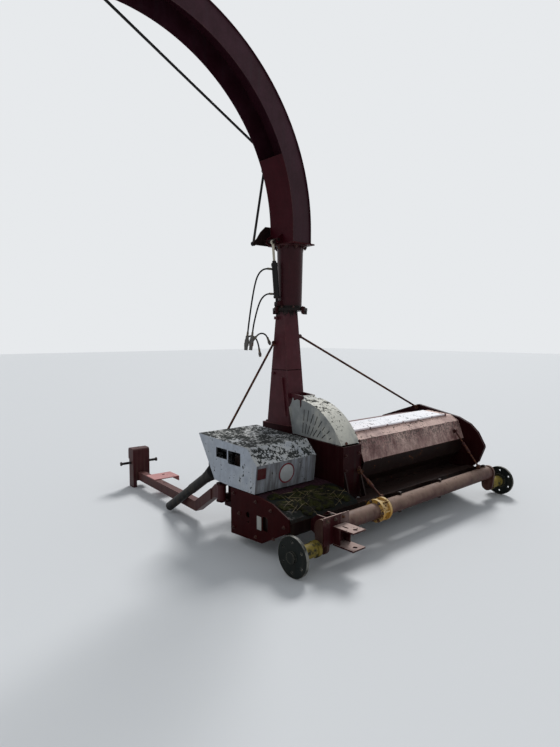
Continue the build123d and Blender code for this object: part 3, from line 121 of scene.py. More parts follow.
# The hydraulic hoses: black rubber over steel wire, two that hang from the cylinder's ports to a pair of
# couplers beside the chute, and two that turn from there towards the machine and end in quick couplers.
HOSE_D, HOSE_STEPS, HOSE_ROUNDNESS = 0.014, 12, 4
HOSE_ROUTES = {
    "hose_a": [(0.736, 1.050, 1.956), (0.692, 1.050, 1.956), (0.650, 1.054, 1.937), (0.618, 1.064, 1.898),
               (0.602, 1.078, 1.842), (0.595, 1.104, 1.764), (0.5902, 1.1318, 1.669), (0.584, 1.138, 1.592)],
    "hose_b": [(0.716, 1.050, 2.169), (0.668, 1.050, 2.169), (0.622, 1.054, 2.150), (0.588, 1.064, 2.108),
               (0.572, 1.080, 2.040), (0.564, 1.102, 1.940), (0.561, 1.130, 1.815), (0.559, 1.157, 1.679),
               (0.552, 1.164, 1.592)],
    "hose_c": [(0.608, 1.138, 1.566), (0.640, 1.140, 1.596), (0.682, 1.144, 1.615), (0.728, 1.150, 1.612),
               (0.768, 1.158, 1.590), (0.792, 1.164, 1.552)],
    "hose_d": [(0.558, 1.204, 1.500), (0.560, 1.206, 1.538), (0.579, 1.208, 1.571), (0.611, 1.211, 1.591),
               (0.651, 1.214, 1.592), (0.686, 1.216, 1.573), (0.709, 1.217, 1.538), (0.723, 1.217, 1.494),
               (0.730, 1.215, 1.450)],
}
RUBBER_BLACK, RUBBER_DUSTY, WRAP_DEPTH = (0.007, 0.007, 0.008, 1), (0.030, 0.028, 0.025, 1), 0.0006


def place(tree, kind, values, **settings):
    """A shader node with its settings and its input values or links."""
    made = tree.nodes.new("ShaderNode" + kind)
    for name, value in settings.items():
        setattr(made, name, value)
    for socket, value in values.items():
        if isinstance(value, bpy.types.NodeSocket):
            tree.links.new(value, made.inputs[socket])
        else:
            made.inputs[socket].default_value = value
    return made


def own(tree, which="Object"):
    """The piece's own coordinates, or its own normal."""
    return tree.nodes.new("ShaderNodeTexCoord").outputs[which]


def noise(tree, vector, scale, detail=4.0, roughness=0.6):
    values = {"Vector": vector, "Scale": scale, "Detail": detail, "Roughness": roughness}
    return place(tree, "TexNoise", values).outputs[0]


def rise(tree, value, start, end):
    """0 below start, 1 above end and smooth between them."""
    values = {"Value": value, "From Min": start, "From Max": end}
    return place(tree, "MapRange", values, interpolation_type="SMOOTHSTEP").outputs[0]


def blend_colors(tree, share, first, second):
    return place(tree, "Mix", {0: share, 6: first, 7: second}, data_type="RGBA").outputs[2]


def new_material(name, specular):
    """A material, its tree and its Principled shader."""
    made = bpy.data.materials.new(name)
    made.use_nodes = True
    shader = made.node_tree.nodes["Principled BSDF"]
    shader.inputs["Specular IOR Level"].default_value = specular
    return made, made.node_tree, shader


def set_looks(tree, shader, color, roughness, height, depth):
    """Feeds the shader its colour, its roughness and its normal, from a height that is depth metres deep."""
    tree.links.new(color, shader.inputs["Base Color"])
    tree.links.new(roughness, shader.inputs["Roughness"])
    bump = place(tree, "Bump", {"Height": height, "Distance": depth})
    tree.links.new(bump.outputs[0], shader.inputs["Normal"])


rubber, tree, shader = new_material("hose_rubber", 0.15)
dusty = noise(tree, own(tree), scale=34.0)
wrap = noise(tree, own(tree), scale=900.0, detail=2.0)
color = blend_colors(tree, rise(tree, dusty, 0.45, 0.75), RUBBER_BLACK, RUBBER_DUSTY)
set_looks(tree, shader, color, rise(tree, dusty, -0.6, 0.9), wrap, WRAP_DEPTH)

hoses = {}
for name, route in HOSE_ROUTES.items():
    curve = bpy.data.curves.new(name + "_line", "CURVE")
    curve.dimensions = "3D"
    line = curve.splines.new("NURBS")
    line.points.add(len(route) - 1)
    for point, way in zip(line.points, route):
        point.co = (*spot(*way), 1)
    line.order_u = 3
    line.use_endpoint_u = True
    line.resolution_u = HOSE_STEPS
    curve.bevel_depth = HOSE_D / 2
    curve.bevel_resolution = HOSE_ROUNDNESS
    curve.use_fill_caps = True
    curve.materials.append(rubber)
    hoses[name] = bpy.data.objects.new(name + "_rubber", curve)
    bpy.context.scene.collection.objects.link(hoses[name])
    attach(hoses[name], "cylinder_barrel")
    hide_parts(name)

# The chassis: a side plate, rails and box beams of folded and welded steel, on two skids. One coat of
# maroon enamel covers it, chalked by the sun, worn through along its edges, rusting at bare spots, and
# spotted with lichen and dust. Every painted piece of the machine takes its own share of each.
MAROON, CHALK = (0.036, 0.0065, 0.009, 1), (0.11, 0.046, 0.048, 1)
RUST_DARK, RUST_LIGHT, DUST = (0.022, 0.009, 0.005, 1), (0.15, 0.058, 0.024, 1), (0.11, 0.088, 0.058, 1)
LICHEN, BARE_EDGE = (0.012, 0.014, 0.013, 1), (0.13, 0.062, 0.046)
EDGE_WIDTH, PAINT_DEPTH, DUST_TOP = 0.007, 0.0012, 0.75


def calculate(tree, operation, first, second=0.0):
    return place(tree, "Math", {0: first, 1: second}, operation=operation).outputs[0]


def times(tree, first, second):
    return calculate(tree, "MULTIPLY", first, second)


def plus(tree, first, second):
    return calculate(tree, "ADD", first, second)


def minus(tree, first, second):
    return calculate(tree, "SUBTRACT", first, second)


def sum_of(tree, *parts):
    """The sum of some values, each times its own weight."""
    total = times(tree, *parts[0])
    for value, weight in parts[1:]:
        total = plus(tree, total, times(tree, value, weight))
    return total


def along(tree, vector, axis):
    """One number of a vector: 0 to the right, 1 forwards, 2 up."""
    return place(tree, "SeparateXYZ", {0: vector}).outputs[axis]


def stretched(tree, vector, scale, location=(0, 0, 0)):
    values = {"Vector": vector, "Scale": scale, "Location": location}
    return place(tree, "Mapping", values).outputs[0]


def new_group(name, inputs, outputs):
    """A shader node group: its tree, the node of its inputs and the node of its outputs."""
    made = bpy.data.node_groups.new(name, "ShaderNodeTree")
    for label, value in inputs.items():
        kind = "NodeSocketFloat" if isinstance(value, float) else "NodeSocketColor"
        made.interface.new_socket(label, in_out="INPUT", socket_type=kind).default_value = value
    for label, kind in outputs.items():
        made.interface.new_socket(label, in_out="OUTPUT", socket_type="NodeSocket" + kind)
    return made, made.nodes.new("NodeGroupInput"), made.nodes.new("NodeGroupOutput")


coat, given, result = new_group(
    "weathering",
    {"Paint": MAROON, "Chalk": CHALK, "Edge": (*BARE_EDGE, 1), "Fading": 0.5, "Rusting": 0.3, "Dust": 0.4,
     "Lichen": 0.2, "Streaks": 0.3, "Wear": 0.5, "Scale": 1.0},
    {"Color": "Color", "Roughness": "Float", "Height": "Float"},
)
scaled = {0: own(coat), "Scale": given.outputs["Scale"]}
where = place(coat, "VectorMath", scaled, operation="SCALE").outputs[0]
facing = along(coat, own(coat, "Normal"), 2)
# how far a surface is turned to the rear: the weight of the painted shade on the rear walls
rear_shade_weight = times(coat, along(coat, own(coat, "Normal"), 1), -1.0)
rear_shade_weight = calculate(coat, "MAXIMUM", rear_shade_weight, 0.0)
above_floor = along(coat, own(coat), 2)
cloud = noise(coat, where, scale=1.9, detail=3.0, roughness=0.55)
patch = noise(coat, where, scale=11.0, detail=5.0, roughness=0.62)
blots = noise(coat, where, scale=42.0)
fine = noise(coat, where, scale=70.0)
grain = noise(coat, where, scale=480.0, detail=2.0, roughness=0.5)
runs = noise(coat, stretched(coat, where, (30, 30, 1.5)), scale=1.0)

# chalking: clouds, patches and runs, most of it on what faces the sky
worn = sum_of(coat, (cloud, 0.5), (patch, 0.3), (runs, 0.2), (facing, 0.20))
worn = times(coat, rise(coat, worn, 0.46, 0.74), given.outputs["Fading"])
uneven = plus(coat, times(coat, patch, 0.9), 0.55)
paint = place(coat, "HueSaturation", {"Color": given.outputs["Paint"], "Value": uneven})
color = blend_colors(coat, worn, paint.outputs[0], given.outputs["Chalk"])

# dirty rain runs down the walls; on those turned to the rear the dark runs are made up to four times as
# heavy, and that extra is painted shade
steep = minus(coat, 1.0, calculate(coat, "ABSOLUTE", facing))
streaks_and_rear_shade = times(coat, rise(coat, runs, 0.50, 0.72), rise(coat, patch, 0.30, 0.62))
streaks_and_rear_shade = times(coat, times(coat, streaks_and_rear_shade, steep), given.outputs["Streaks"])
streaks_and_rear_shade = times(coat, streaks_and_rear_shade, plus(coat, times(coat, rear_shade_weight, 0.75), 0.25))
color = blend_colors(coat, streaks_and_rear_shade, color, LICHEN)

# dust in streaks, most of it near the ground
low_down = minus(coat, 1.0, rise(coat, above_floor, 0.0, DUST_TOP))
dusted = times(coat, plus(coat, low_down, 0.25), rise(coat, runs, 0.35, 0.75))
dusted = times(coat, dusted, given.outputs["Dust"])
color = blend_colors(coat, dusted, color, DUST)

# rust where the enamel has gone
spots = sum_of(coat, (patch, 0.6), (fine, 0.4))
limit = minus(coat, 0.72, times(coat, given.outputs["Rusting"], 0.28))
rusty = rise(coat, spots, limit, plus(coat, limit, 0.05))
rust_color = blend_colors(coat, rise(coat, fine, 0.4, 0.66), RUST_DARK, RUST_LIGHT)
color = blend_colors(coat, rusty, color, rust_color)

# the worn edges, found where a small rounded corner would turn away from the face
rounded = place(coat, "Bevel", {"Radius": EDGE_WIDTH}, samples=4).outputs[0]
straight = coat.nodes.new("ShaderNodeNewGeometry").outputs["Normal"]
alike = place(coat, "VectorMath", {0: rounded, 1: straight}, operation="DOT_PRODUCT").outputs["Value"]
edges = rise(coat, minus(coat, 1.0, alike), 0.02, 0.16)
edges = times(coat, edges, rise(coat, spots, 0.40, 0.62))
edges = times(coat, edges, given.outputs["Wear"])
color = blend_colors(coat, edges, color, given.outputs["Edge"])

# black lichen, in blotches on what faces the sky and in small spots elsewhere
growth = sum_of(coat, (patch, 0.36), (blots, 0.38), (fine, 0.22), (facing, 0.11))
border = minus(coat, 0.70, times(coat, given.outputs["Lichen"], 0.20))
grown = rise(coat, growth, border, plus(coat, border, 0.045))
grown = times(coat, grown, 0.95)
color = blend_colors(coat, grown, color, LICHEN)
coat.links.new(color, result.inputs["Color"])

# whatever lies on the enamel makes it duller, and rust and lichen are rough to the touch
rough = plus(coat, times(coat, worn, 0.28), 0.40)
for layer, dulling in ((rusty, 0.3), (grown, 0.5), (dusted, 0.3)):
    rough = plus(coat, rough, times(coat, layer, dulling))
coat.links.new(rough, result.inputs["Roughness"])
rusty_grain, lichen_grain = times(coat, rusty, grain), times(coat, grown, grain)
height = sum_of(coat, (grain, 0.12), (fine, 0.2), (rusty_grain, 0.5), (lichen_grain, 0.4))
coat.links.new(height, result.inputs["Height"])


def weathered(name, paint, chalk, fading, rusting, dust, lichen=0.15, streaks=0.4, wear=0.6, edge=BARE_EDGE,
              scale=1.0, specular=0.14):
    """Enamel on steel: the weathering group in front of the material's own Principled shader."""
    made, tree, shader = new_material(name, specular)
    values = {"Paint": (*paint, 1), "Chalk": (*chalk, 1), "Edge": (*edge, 1), "Fading": fading,
              "Rusting": rusting, "Dust": dust, "Lichen": lichen, "Streaks": streaks, "Wear": wear,
              "Scale": scale}
    group = place(tree, "Group", values, node_tree=coat).outputs
    set_looks(tree, shader, group["Color"], group["Roughness"], group["Height"], PAINT_DEPTH)
    return made


def finish_nodes(material, *names):
    for name in names:
        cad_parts[name].material_slots[0].material = material


side_enamel = weathered("side_enamel", paint=(0.024, 0.0012, 0.0018), chalk=(0.032, 0.0036, 0.0044),
                        fading=0.4, rusting=0.12, dust=0.02, lichen=0.1, streaks=0.3, specular=0.03)
dark_enamel = weathered("dark_enamel", paint=(0.018, 0.0018, 0.0030), chalk=(0.034, 0.0085, 0.0095),
                        fading=0.40, rusting=0.20, dust=0.08, specular=0.05)
grimy_enamel = weathered("grimy_enamel", paint=(0.009, 0.0036, 0.0034), chalk=(0.024, 0.012, 0.010),
                         fading=0.5, rusting=0.45, dust=0.10, lichen=0.3)
rusted_enamel = weathered("rusted_enamel", paint=(0.036, 0.008, 0.008), chalk=(0.085, 0.036, 0.028),
                          fading=0.5, rusting=0.80, dust=0.3)
finish_nodes(side_enamel, "side_frame")
finish_nodes(dark_enamel, "left_rail", "cover_hinge", "end_plate", "front_beam")
finish_nodes(grimy_enamel, "rear_beam")
finish_nodes(rusted_enamel, "skids")

# The housing and what turns in it: a rolled and welded blower housing with its flywheel, the trough of the
# cross auger, the flail rotor and the gearbox. All are bolted on or run in bearings, dull with old chaff
# and grease.
finish_nodes(dark_enamel, "blower_housing")
finish_nodes(grimy_enamel, "gearbox", "auger_trough", "flywheel")
finish_nodes(rusted_enamel, "flail_rotor", "cross_auger")

# The deck: a folded sheet that slopes down to the rear beam, black with moss and rotted chaff, and its
# enamel is painted darker still as painted shade. Only a ragged strip under the white cover has stayed bare,
# and shows its chalked enamel.
DECK_BARE_FROM, DECK_BARE_TO, DECK_CHALK, RAGGED_BY = 0.395, 0.435, (0.044, 0.019, 0.026, 1), 0.12


def over_paint(material, share, color):
    """Lays one more colour over a material's paint, as much of it as share says."""
    tree = material.node_tree
    base = tree.nodes["Principled BSDF"].inputs["Base Color"]
    tree.links.new(blend_colors(tree, share, base.links[0].from_socket, color), base)


# the deck's near-black enamel is partly moss and chaff and partly painted shade
deck_enamel = weathered("deck_enamel", paint=(0.0055, 0.0034, 0.0024), chalk=(0.0080, 0.0058, 0.0040),
                        fading=0.5, rusting=0.20, dust=0.0, lichen=0.8, specular=0.04)
tree = deck_enamel.node_tree
wandering = times(tree, plus(tree, noise(tree, own(tree), scale=9.0), -0.5), RAGGED_BY)
forward = plus(tree, along(tree, own(tree), 1), wandering)
bare = rise(tree, forward, spot(0, DECK_BARE_FROM, 0).y, spot(0, DECK_BARE_TO, 0).y)
over_paint(deck_enamel, times(tree, bare, 0.85), DECK_CHALK)
finish_nodes(deck_enamel, "deck")

# The axle and the wagon hitch: a steel tube bleached by the sun, with a bolted joint in yellow paint and
# two threaded links that set its height, and the hitch's folded plates, chalked pale where they face the
# sky.
bleached_enamel = weathered("bleached_enamel", paint=(0.062, 0.021, 0.018), chalk=(0.24, 0.158, 0.125),
                            fading=1.0, rusting=0.30, dust=0.35, lichen=0.3)
joint_yellow = weathered("joint_yellow", paint=(0.46, 0.24, 0.034), chalk=(0.62, 0.45, 0.22), fading=1.0,
                         rusting=0.6, dust=0.1, lichen=0.4)
hitch_enamel = weathered("hitch_enamel", paint=(0.032, 0.0046, 0.0064), chalk=(0.42, 0.31, 0.275),
                         fading=1.0, rusting=0.20, dust=0.05, lichen=0.25, specular=0.06)
finish_nodes(bleached_enamel, "axle_tube")
finish_nodes(joint_yellow, "axle_coupling")
finish_nodes(rusted_enamel, "left_link", "right_link")
finish_nodes(hitch_enamel, "trailer_hitch")

# The hub discs: pressed steel under dark green enamel, with a rolled rim where the paint has chalked pale.
# They turn on the axle's ends, and behind each disc the hub shows yellow paint.
HUB_UP, HUB_SPAN, PALE_EDGE = 0.140, 2.870, (0.30, 0.27, 0.22)
RIM_FROM, RIM_TO, RIM_PALE = 0.1360, 0.1395, (0.28, 0.27, 0.24, 1)
YELLOW_FROM, YELLOW_TO, HUB_YELLOW = 0.03, 0.06, (0.22, 0.165, 0.035, 1)

hub_green = weathered("hub_green", paint=(0.011, 0.0135, 0.0125), chalk=(0.030, 0.033, 0.030), fading=0.6,
                      rusting=0.25, dust=0.08, lichen=0.3, edge=PALE_EDGE, specular=0.08)
tree = hub_green.node_tree
hub_line = spot(0, 0, HUB_UP)
from_line = stretched(tree, own(tree), (0, 1, 1), (0, -hub_line.y, -hub_line.z))
radius = place(tree, "VectorMath", {0: from_line}, operation="LENGTH").outputs["Value"]
cloudy = rise(tree, noise(tree, own(tree), scale=14.0), 0.35, 0.60)
chalky = times(tree, rise(tree, radius, RIM_FROM, RIM_TO), cloudy)
over_paint(hub_green, times(tree, chalky, 0.7), RIM_PALE)
middle = (spot(0, 0, 0).x + spot(HUB_SPAN, 0, 0).x) / 2
off_middle = calculate(tree, "ABSOLUTE", minus(tree, along(tree, own(tree), 0), middle))
inboard = minus(tree, HUB_SPAN / 2, off_middle)
blotched = rise(tree, noise(tree, own(tree), scale=24.0), 0.36, 0.52)
yellow = times(tree, rise(tree, inboard, YELLOW_FROM, YELLOW_TO), blotched)
over_paint(hub_green, times(tree, yellow, 0.9), HUB_YELLOW)
finish_nodes(hub_green, "left_hub", "right_hub")

# The chute and the turning collar: a welded sheet duct that narrows upwards, held by two stays, and the
# round turntable on its top. Old grease has run from between the two rings, black over the enamel.
DRIP_FROM, DRIP_TO, DRIP_BY = 1.850, 1.875, 0.16
GREASE_TOP, GREASE_END, GREASE_BLACK = 1.852, 1.864, (0.0045, 0.0040, 0.0032, 1)

chute_enamel = weathered("chute_enamel", paint=(0.056, 0.0075, 0.0120), chalk=(0.092, 0.034, 0.044),
                         fading=0.75, rusting=0.08, dust=0.03, lichen=0.12)
collar_enamel = weathered("collar_enamel", paint=(0.028, 0.0036, 0.0060), chalk=(0.046, 0.013, 0.017),
                          fading=0.6, rusting=0.12, dust=0.03)
for finish in (chute_enamel, collar_enamel):
    tree = finish.node_tree
    level = along(tree, own(tree), 2)
    drips = times(tree, noise(tree, stretched(tree, own(tree), (40, 40, 4)), scale=1.0), DRIP_BY)
    below_top = minus(tree, 1.0, rise(tree, level, GREASE_TOP, GREASE_END))
    band = times(tree, rise(tree, plus(tree, level, drips), DRIP_FROM, DRIP_TO), below_top)
    over_paint(finish, times(tree, band, 0.93), GREASE_BLACK)
finish_nodes(chute_enamel, "lower_chute")
finish_nodes(rusted_enamel, "left_stay", "right_stay")
finish_nodes(collar_enamel, "turn_collar")

# The spout: a rolled sheet channel between two side plates, welded to a foot with a bolted flange, and the
# flap at its end. It stands in the sun, and its enamel has chalked more than it has rusted.
foot_enamel = weathered("foot_enamel", paint=(0.034, 0.0026, 0.0058), chalk=(0.044, 0.0080, 0.0120),
                        fading=0.7, rusting=0.08, dust=0.0, lichen=0.10, specular=0.05)
arch_enamel = weathered("arch_enamel", paint=(0.029, 0.0064, 0.0115), chalk=(0.062, 0.026, 0.038),
                        fading=0.8, rusting=0.05, dust=0.0, lichen=0.08, scale=0.8)
finish_nodes(foot_enamel, "spout_foot")
finish_nodes(arch_enamel, "spout_arch", "spout_sides", "deflector_flap")

# The deflector's linkage: a hydraulic cylinder with a chromed rod, the bell crank and the rocker that it
# works, and two rods painted black, all held by pins through welded eyes.
rod_black = weathered("rod_black", paint=(0.010, 0.009, 0.010), chalk=(0.034, 0.026, 0.026), fading=0.4,
                      rusting=0.30, dust=0.05)
rod_chrome = weathered("rod_chrome", paint=(0.42, 0.38, 0.30), chalk=(0.50, 0.47, 0.40), fading=0.5,
                       rusting=0.12, dust=0.0, lichen=0.05, streaks=0.2, wear=0.2)
finish_nodes(rod_black, "cylinder_barrel", "lower_rod", "long_rod")
finish_nodes(rod_chrome, "cylinder_rod")
finish_nodes(grimy_enamel, "bell_crank", "rocker_lever")

# The hood over the flail rotor: folded sheet with a hinged lid, the palest red of the machine. Its enamel
# has bleached to pink, and lichen specks its rear slope, thickest along the upper edge.
HOOD_LOW, HOOD_HIGH, HOOD_LICHEN = 0.600, 0.735, (0.050, 0.046, 0.038, 1)
LID_EDGE = (0.24, 0.10, 0.09)

hood_enamel = weathered("hood_enamel", paint=(0.15, 0.064, 0.062), chalk=(0.66, 0.47, 0.41), fading=1.0,
                        rusting=0.16, dust=0.1, lichen=0.46)
tree = hood_enamel.node_tree
back = times(tree, along(tree, own(tree, "Normal"), 1), -1.0)
higher = rise(tree, along(tree, own(tree), 2), HOOD_LOW, HOOD_HIGH)
specks = rise(tree, noise(tree, own(tree), scale=58.0, detail=5.0, roughness=0.62), 0.44, 0.58)
specks = times(tree, specks, plus(tree, times(tree, higher, 0.50), 0.28))
over_paint(hood_enamel, times(tree, specks, rise(tree, back, 0.60, 0.85)), HOOD_LICHEN)
front_enamel = weathered("front_enamel", paint=(0.048, 0.008, 0.010), chalk=(0.14, 0.060, 0.056),
                         fading=0.8, rusting=0.25, dust=0.2, lichen=0.3)
lid_pale = weathered("lid_pale", paint=(0.64, 0.55, 0.56), chalk=(0.80, 0.80, 0.83), fading=0.95,
                     rusting=0.10, dust=0.0, lichen=0.34, streaks=0.3, wear=0.5, edge=LID_EDGE,
                     specular=0.3)
finish_nodes(hood_enamel, "hood_rear")
finish_nodes(front_enamel, "hood_front")
finish_nodes(lid_pale, "hood_lid")

# The covers: white enamelled sheet, folded over the drive and slotted over the blower's quarter, both hinged
# so that they lift. Rain has left streaks of road dirt on the rear wall of the larger one, and an even dark
# film over that whole wall is painted shade.
COVER_EDGE, REAR_DIRT_AND_SHADE = (0.50, 0.52, 0.52), (0.060, 0.050, 0.042, 1)

cover_white = weathered("cover_white", paint=(0.35, 0.38, 0.43), chalk=(0.45, 0.43, 0.37), fading=0.6,
                        rusting=0.04, dust=0.0, lichen=0.80, streaks=0.80, wear=0.6, edge=COVER_EDGE,
                        specular=0.10)
tree = cover_white.node_tree
back = times(tree, along(tree, own(tree, "Normal"), 1), -1.0)
washed = rise(tree, noise(tree, stretched(tree, own(tree), (26, 26, 1.2)), scale=1.0), 0.30, 0.66)
# the even part of this dark film over the rear wall is painted shade, and its rain streaks are road dirt
rear_dirt_and_shade = times(tree, rise(tree, back, 0.80, 0.95), plus(tree, times(tree, washed, 0.42), 0.38))
over_paint(cover_white, rear_dirt_and_shade, REAR_DIRT_AND_SHADE)
quarter_white = weathered("quarter_white", paint=(0.23, 0.24, 0.24), chalk=(0.62, 0.60, 0.52), fading=0.9,
                          rusting=0.10, dust=0.0, lichen=0.55, streaks=0.55, wear=0.5, edge=PALE_EDGE,
                          specular=0.25)
finish_nodes(cover_white, "transmission_cover")
finish_nodes(quarter_white, "fan_cover")

# The drawbar and the drive shaft: a box beam with a bleached plate and a head for the tractor's pin, a
# black cross bar, and a steel shaft that turns in a guard of moulded black plastic.
GUARD_EDGE = (0.07, 0.07, 0.07)

red_enamel = weathered("red_enamel", paint=(0.036, 0.0052, 0.0075), chalk=(0.090, 0.032, 0.032),
                       fading=0.55, rusting=0.22, dust=0.22)
plate_pink = weathered("plate_pink", paint=(0.36, 0.105, 0.105), chalk=(0.52, 0.27, 0.26), fading=0.9,
                       rusting=0.12, dust=0.1, lichen=0.2, edge=PALE_EDGE)
bare_steel = weathered("bare_steel", paint=(0.10, 0.094, 0.088), chalk=(0.20, 0.185, 0.165), fading=0.5,
                       rusting=0.5, dust=0.2, lichen=0.1)
guard_plastic = weathered("guard_plastic", paint=(0.010, 0.010, 0.011), chalk=(0.030, 0.030, 0.031),
                          fading=0.5, rusting=0.0, dust=0.20, lichen=0.0, streaks=0.1, wear=0.4,
                          edge=GUARD_EDGE)
finish_nodes(front_enamel, "drawbar_beam")
finish_nodes(red_enamel, "drawbar_head")
finish_nodes(plate_pink, "drawbar_plate")
finish_nodes(rod_black, "cross_bar")
finish_nodes(bare_steel, "drive_shaft")
finish_nodes(guard_plastic, "shaft_guard")

# The hexagon bolts that hold the machine together: a chamfered head on a round washer, with the end of its
# thread standing out of it. One is modelled, and each group of like ones is copied from it and joined.
WASHER_R, WASHER_T, WASHER_SIDES = 0.0135, 0.0024, 20
HEAD_R, HEAD_HIGH, CHAMFER_IN, CHAMFER_DOWN = 0.0105, 0.0080, 0.0016, 0.0015
THREAD_R, THREAD_TIP_R, THREAD_SIDES = 0.0058, 0.0046, 12
THREAD_OUT, THREAD_TIP_OUT = 0.0050, 0.0065
SMOOTH_BELOW = math.radians(32)


def hold(piece):
    """Makes the piece the only selected one and the active one."""
    deselect()
    piece.select_set(True)
    bpy.context.view_layer.objects.active = piece


def apply_place():
    """Puts the selected piece's place, turn and scale into its mesh."""
    bpy.ops.object.transform_apply(location=True, rotation=True, scale=True)


def join(pieces):
    """Joins pieces into the first of them."""
    deselect()
    for piece in pieces:
        piece.select_set(True)
    bpy.context.view_layer.objects.active = pieces[0]
    bpy.ops.object.join()
    return bpy.context.object


def settle(piece, name, material, body):
    """Puts the piece's place into its mesh and gives it name, its finish and the body that it rides on."""
    hold(piece)
    apply_place()
    bpy.ops.object.shade_smooth_by_angle(angle=SMOOTH_BELOW)
    piece.name = name
    piece.data.materials.clear()
    piece.data.materials.append(material)
    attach(piece, body)


def turned(profile, sides):
    """A turned piece on the Z axis: a disc drawn up through the profile's steps of (radius, height)."""
    deselect()
    start_r, start_z = profile[0]
    bpy.ops.mesh.primitive_circle_add(vertices=sides, radius=start_r, location=(0, 0, start_z),
                                      fill_type="NGON")
    piece = bpy.context.object
    bpy.ops.object.mode_set(mode="EDIT")
    bpy.ops.mesh.select_mode(type="FACE")
    bpy.ops.mesh.select_all(action="SELECT")
    for (r0, z0), (r1, z1) in zip(profile, profile[1:]):
        bpy.ops.mesh.extrude_region_move(TRANSFORM_OT_translate={"value": (0, 0, z1 - z0)})
        bpy.ops.transform.resize(value=(r1 / r0, r1 / r0, 1))
    bpy.ops.mesh.select_all(action="SELECT")
    bpy.ops.mesh.fill_holes(sides=0)
    bpy.ops.mesh.normals_make_consistent(inside=False)
    bpy.ops.object.mode_set(mode="OBJECT")
    apply_place()
    return piece


def duplicate(model):
    """A copy of the model with its own mesh."""
    made = model.copy()
    made.data = model.data.copy()
    bpy.context.scene.collection.objects.link(made)
    return made


def copied(model, where, way, scale=1.0):
    """A copy of the model in its place, its Z axis turned to way."""
    made = duplicate(model)
    made.location = where
    made.rotation_mode = "QUATERNION"
    made.rotation_quaternion = Vector(way).to_track_quat("Z", "Y")
    made.scale = (scale, scale, scale)
    return made


washer = turned([(WASHER_R, 0), (WASHER_R, WASHER_T)], WASHER_SIDES)
hexagon = turned([(HEAD_R, WASHER_T), (HEAD_R, WASHER_T + HEAD_HIGH - CHAMFER_DOWN),
                  (HEAD_R - CHAMFER_IN, WASHER_T + HEAD_HIGH)], 6)
thread_end = turned([(THREAD_R, WASHER_T), (THREAD_R, WASHER_T + HEAD_HIGH + THREAD_OUT),
                     (THREAD_TIP_R, WASHER_T + HEAD_HIGH + THREAD_TIP_OUT)], THREAD_SIDES)
bolt = join([hexagon, washer, thread_end])

bolt_steel = weathered("bolt_steel", paint=(0.060, 0.042, 0.034), chalk=(0.13, 0.095, 0.075), fading=0.6,
                       rusting=0.75, dust=0.2, lichen=0.1)
bolt_red = weathered("bolt_red", paint=(0.030, 0.008, 0.009), chalk=(0.085, 0.040, 0.036), fading=0.6,
                     rusting=0.55, dust=0.2, lichen=0.1)


def bolt_group(name, material, body, places, scale=1.0):
    """A group of like bolts, each given as its place and the way that its head looks."""
    bolts = [copied(bolt, spot(*where), way, scale) for where, way in places]
    settle(join(bolts), name, material, body)


def on_ring(centre, radius, angles):
    """The two numbers of each place on a ring, at some angles in degrees."""
    turns = [math.radians(angle) for angle in angles]
    return [(centre[0] + radius * math.cos(turn), centre[1] + radius * math.sin(turn)) for turn in turns]


UP, DOWN, LEFT, RIGHT, BACK = (0, 0, 1), (0, 0, -1), (-1, 0, 0), (1, 0, 0), (0, -1, 0)

# the foot's flange on the collar, and the ring that clamps the collar to the turntable
TOWER = (0.930, 1.030)
SPOUT_FLANGE_TOP, COLLAR_FLANGE_LOW, CLAMP_TOP = 2.395, 2.371, 1.8363
FLANGE_R, FLANGE_ANGLES = 0.134, (35, 75, 110, 145, 180, 215, 250, 285, 325)
CLAMP_R, CLAMP_ANGLES = 0.133, range(15, 375, 45)
flange_places = [((1.050, y, SPOUT_FLANGE_TOP), UP) for y in (0.905, 0.968, 1.030, 1.092, 1.155)]
flange_places += [((x, y, COLLAR_FLANGE_LOW), DOWN) for x, y in on_ring(TOWER, FLANGE_R, FLANGE_ANGLES)]
bolt_group("spout_flange_bolts", bolt_red, "spout", flange_places, 1.3)
clamp_places = [((x, y, CLAMP_TOP), UP) for x, y in on_ring(TOWER, CLAMP_R, CLAMP_ANGLES)]
bolt_group("turntable_bolts", bolt_red, "spout", clamp_places)

# the side plate, and both flanges of the axle's joint
SIDE_FACE = 0.100
SIDE_BOLTS = ((0.770, 0.380), (0.770, 0.110), (0.500, 0.375), (0.700, 0.240),
              (0.330, 0.350), (0.190, 0.265), (0.300, 0.150), (0.500, 0.110))
bolt_group("side_plate_bolts", bolt_red, "chassis", [((SIDE_FACE, y, z), LEFT) for y, z in SIDE_BOLTS])

COUPLING_LINE, COUPLING_R, COUPLING_FACES = (0, 0.262), 0.077, ((0.860, LEFT), (0.966, RIGHT))
coupling_places = [((x, y, z), way) for y, z in on_ring(COUPLING_LINE, COUPLING_R, range(0, 360, 60))
                   for x, way in COUPLING_FACES]
bolt_group("coupling_bolts", bolt_steel, "chassis", coupling_places, 0.95)

# the bearings in the right end plate, the blower housing's rims, and the hitch
END_FACE, BEARING_ANGLES = 2.630, range(45, 405, 90)
ROTOR_LINE, ROTOR_BEARING_R, AUGER_LINE, AUGER_BEARING_R = (0.985, 0.400), 0.047, (0.560, 0.335), 0.038
end_places = [((END_FACE, y, z), RIGHT) for y, z in on_ring(ROTOR_LINE, ROTOR_BEARING_R, BEARING_ANGLES)]
end_places += [((END_FACE, y, z), RIGHT) for y, z in on_ring(AUGER_LINE, AUGER_BEARING_R, BEARING_ANGLES)]
bolt_group("bearing_bolts", bolt_red, "chassis", end_places, 0.8)

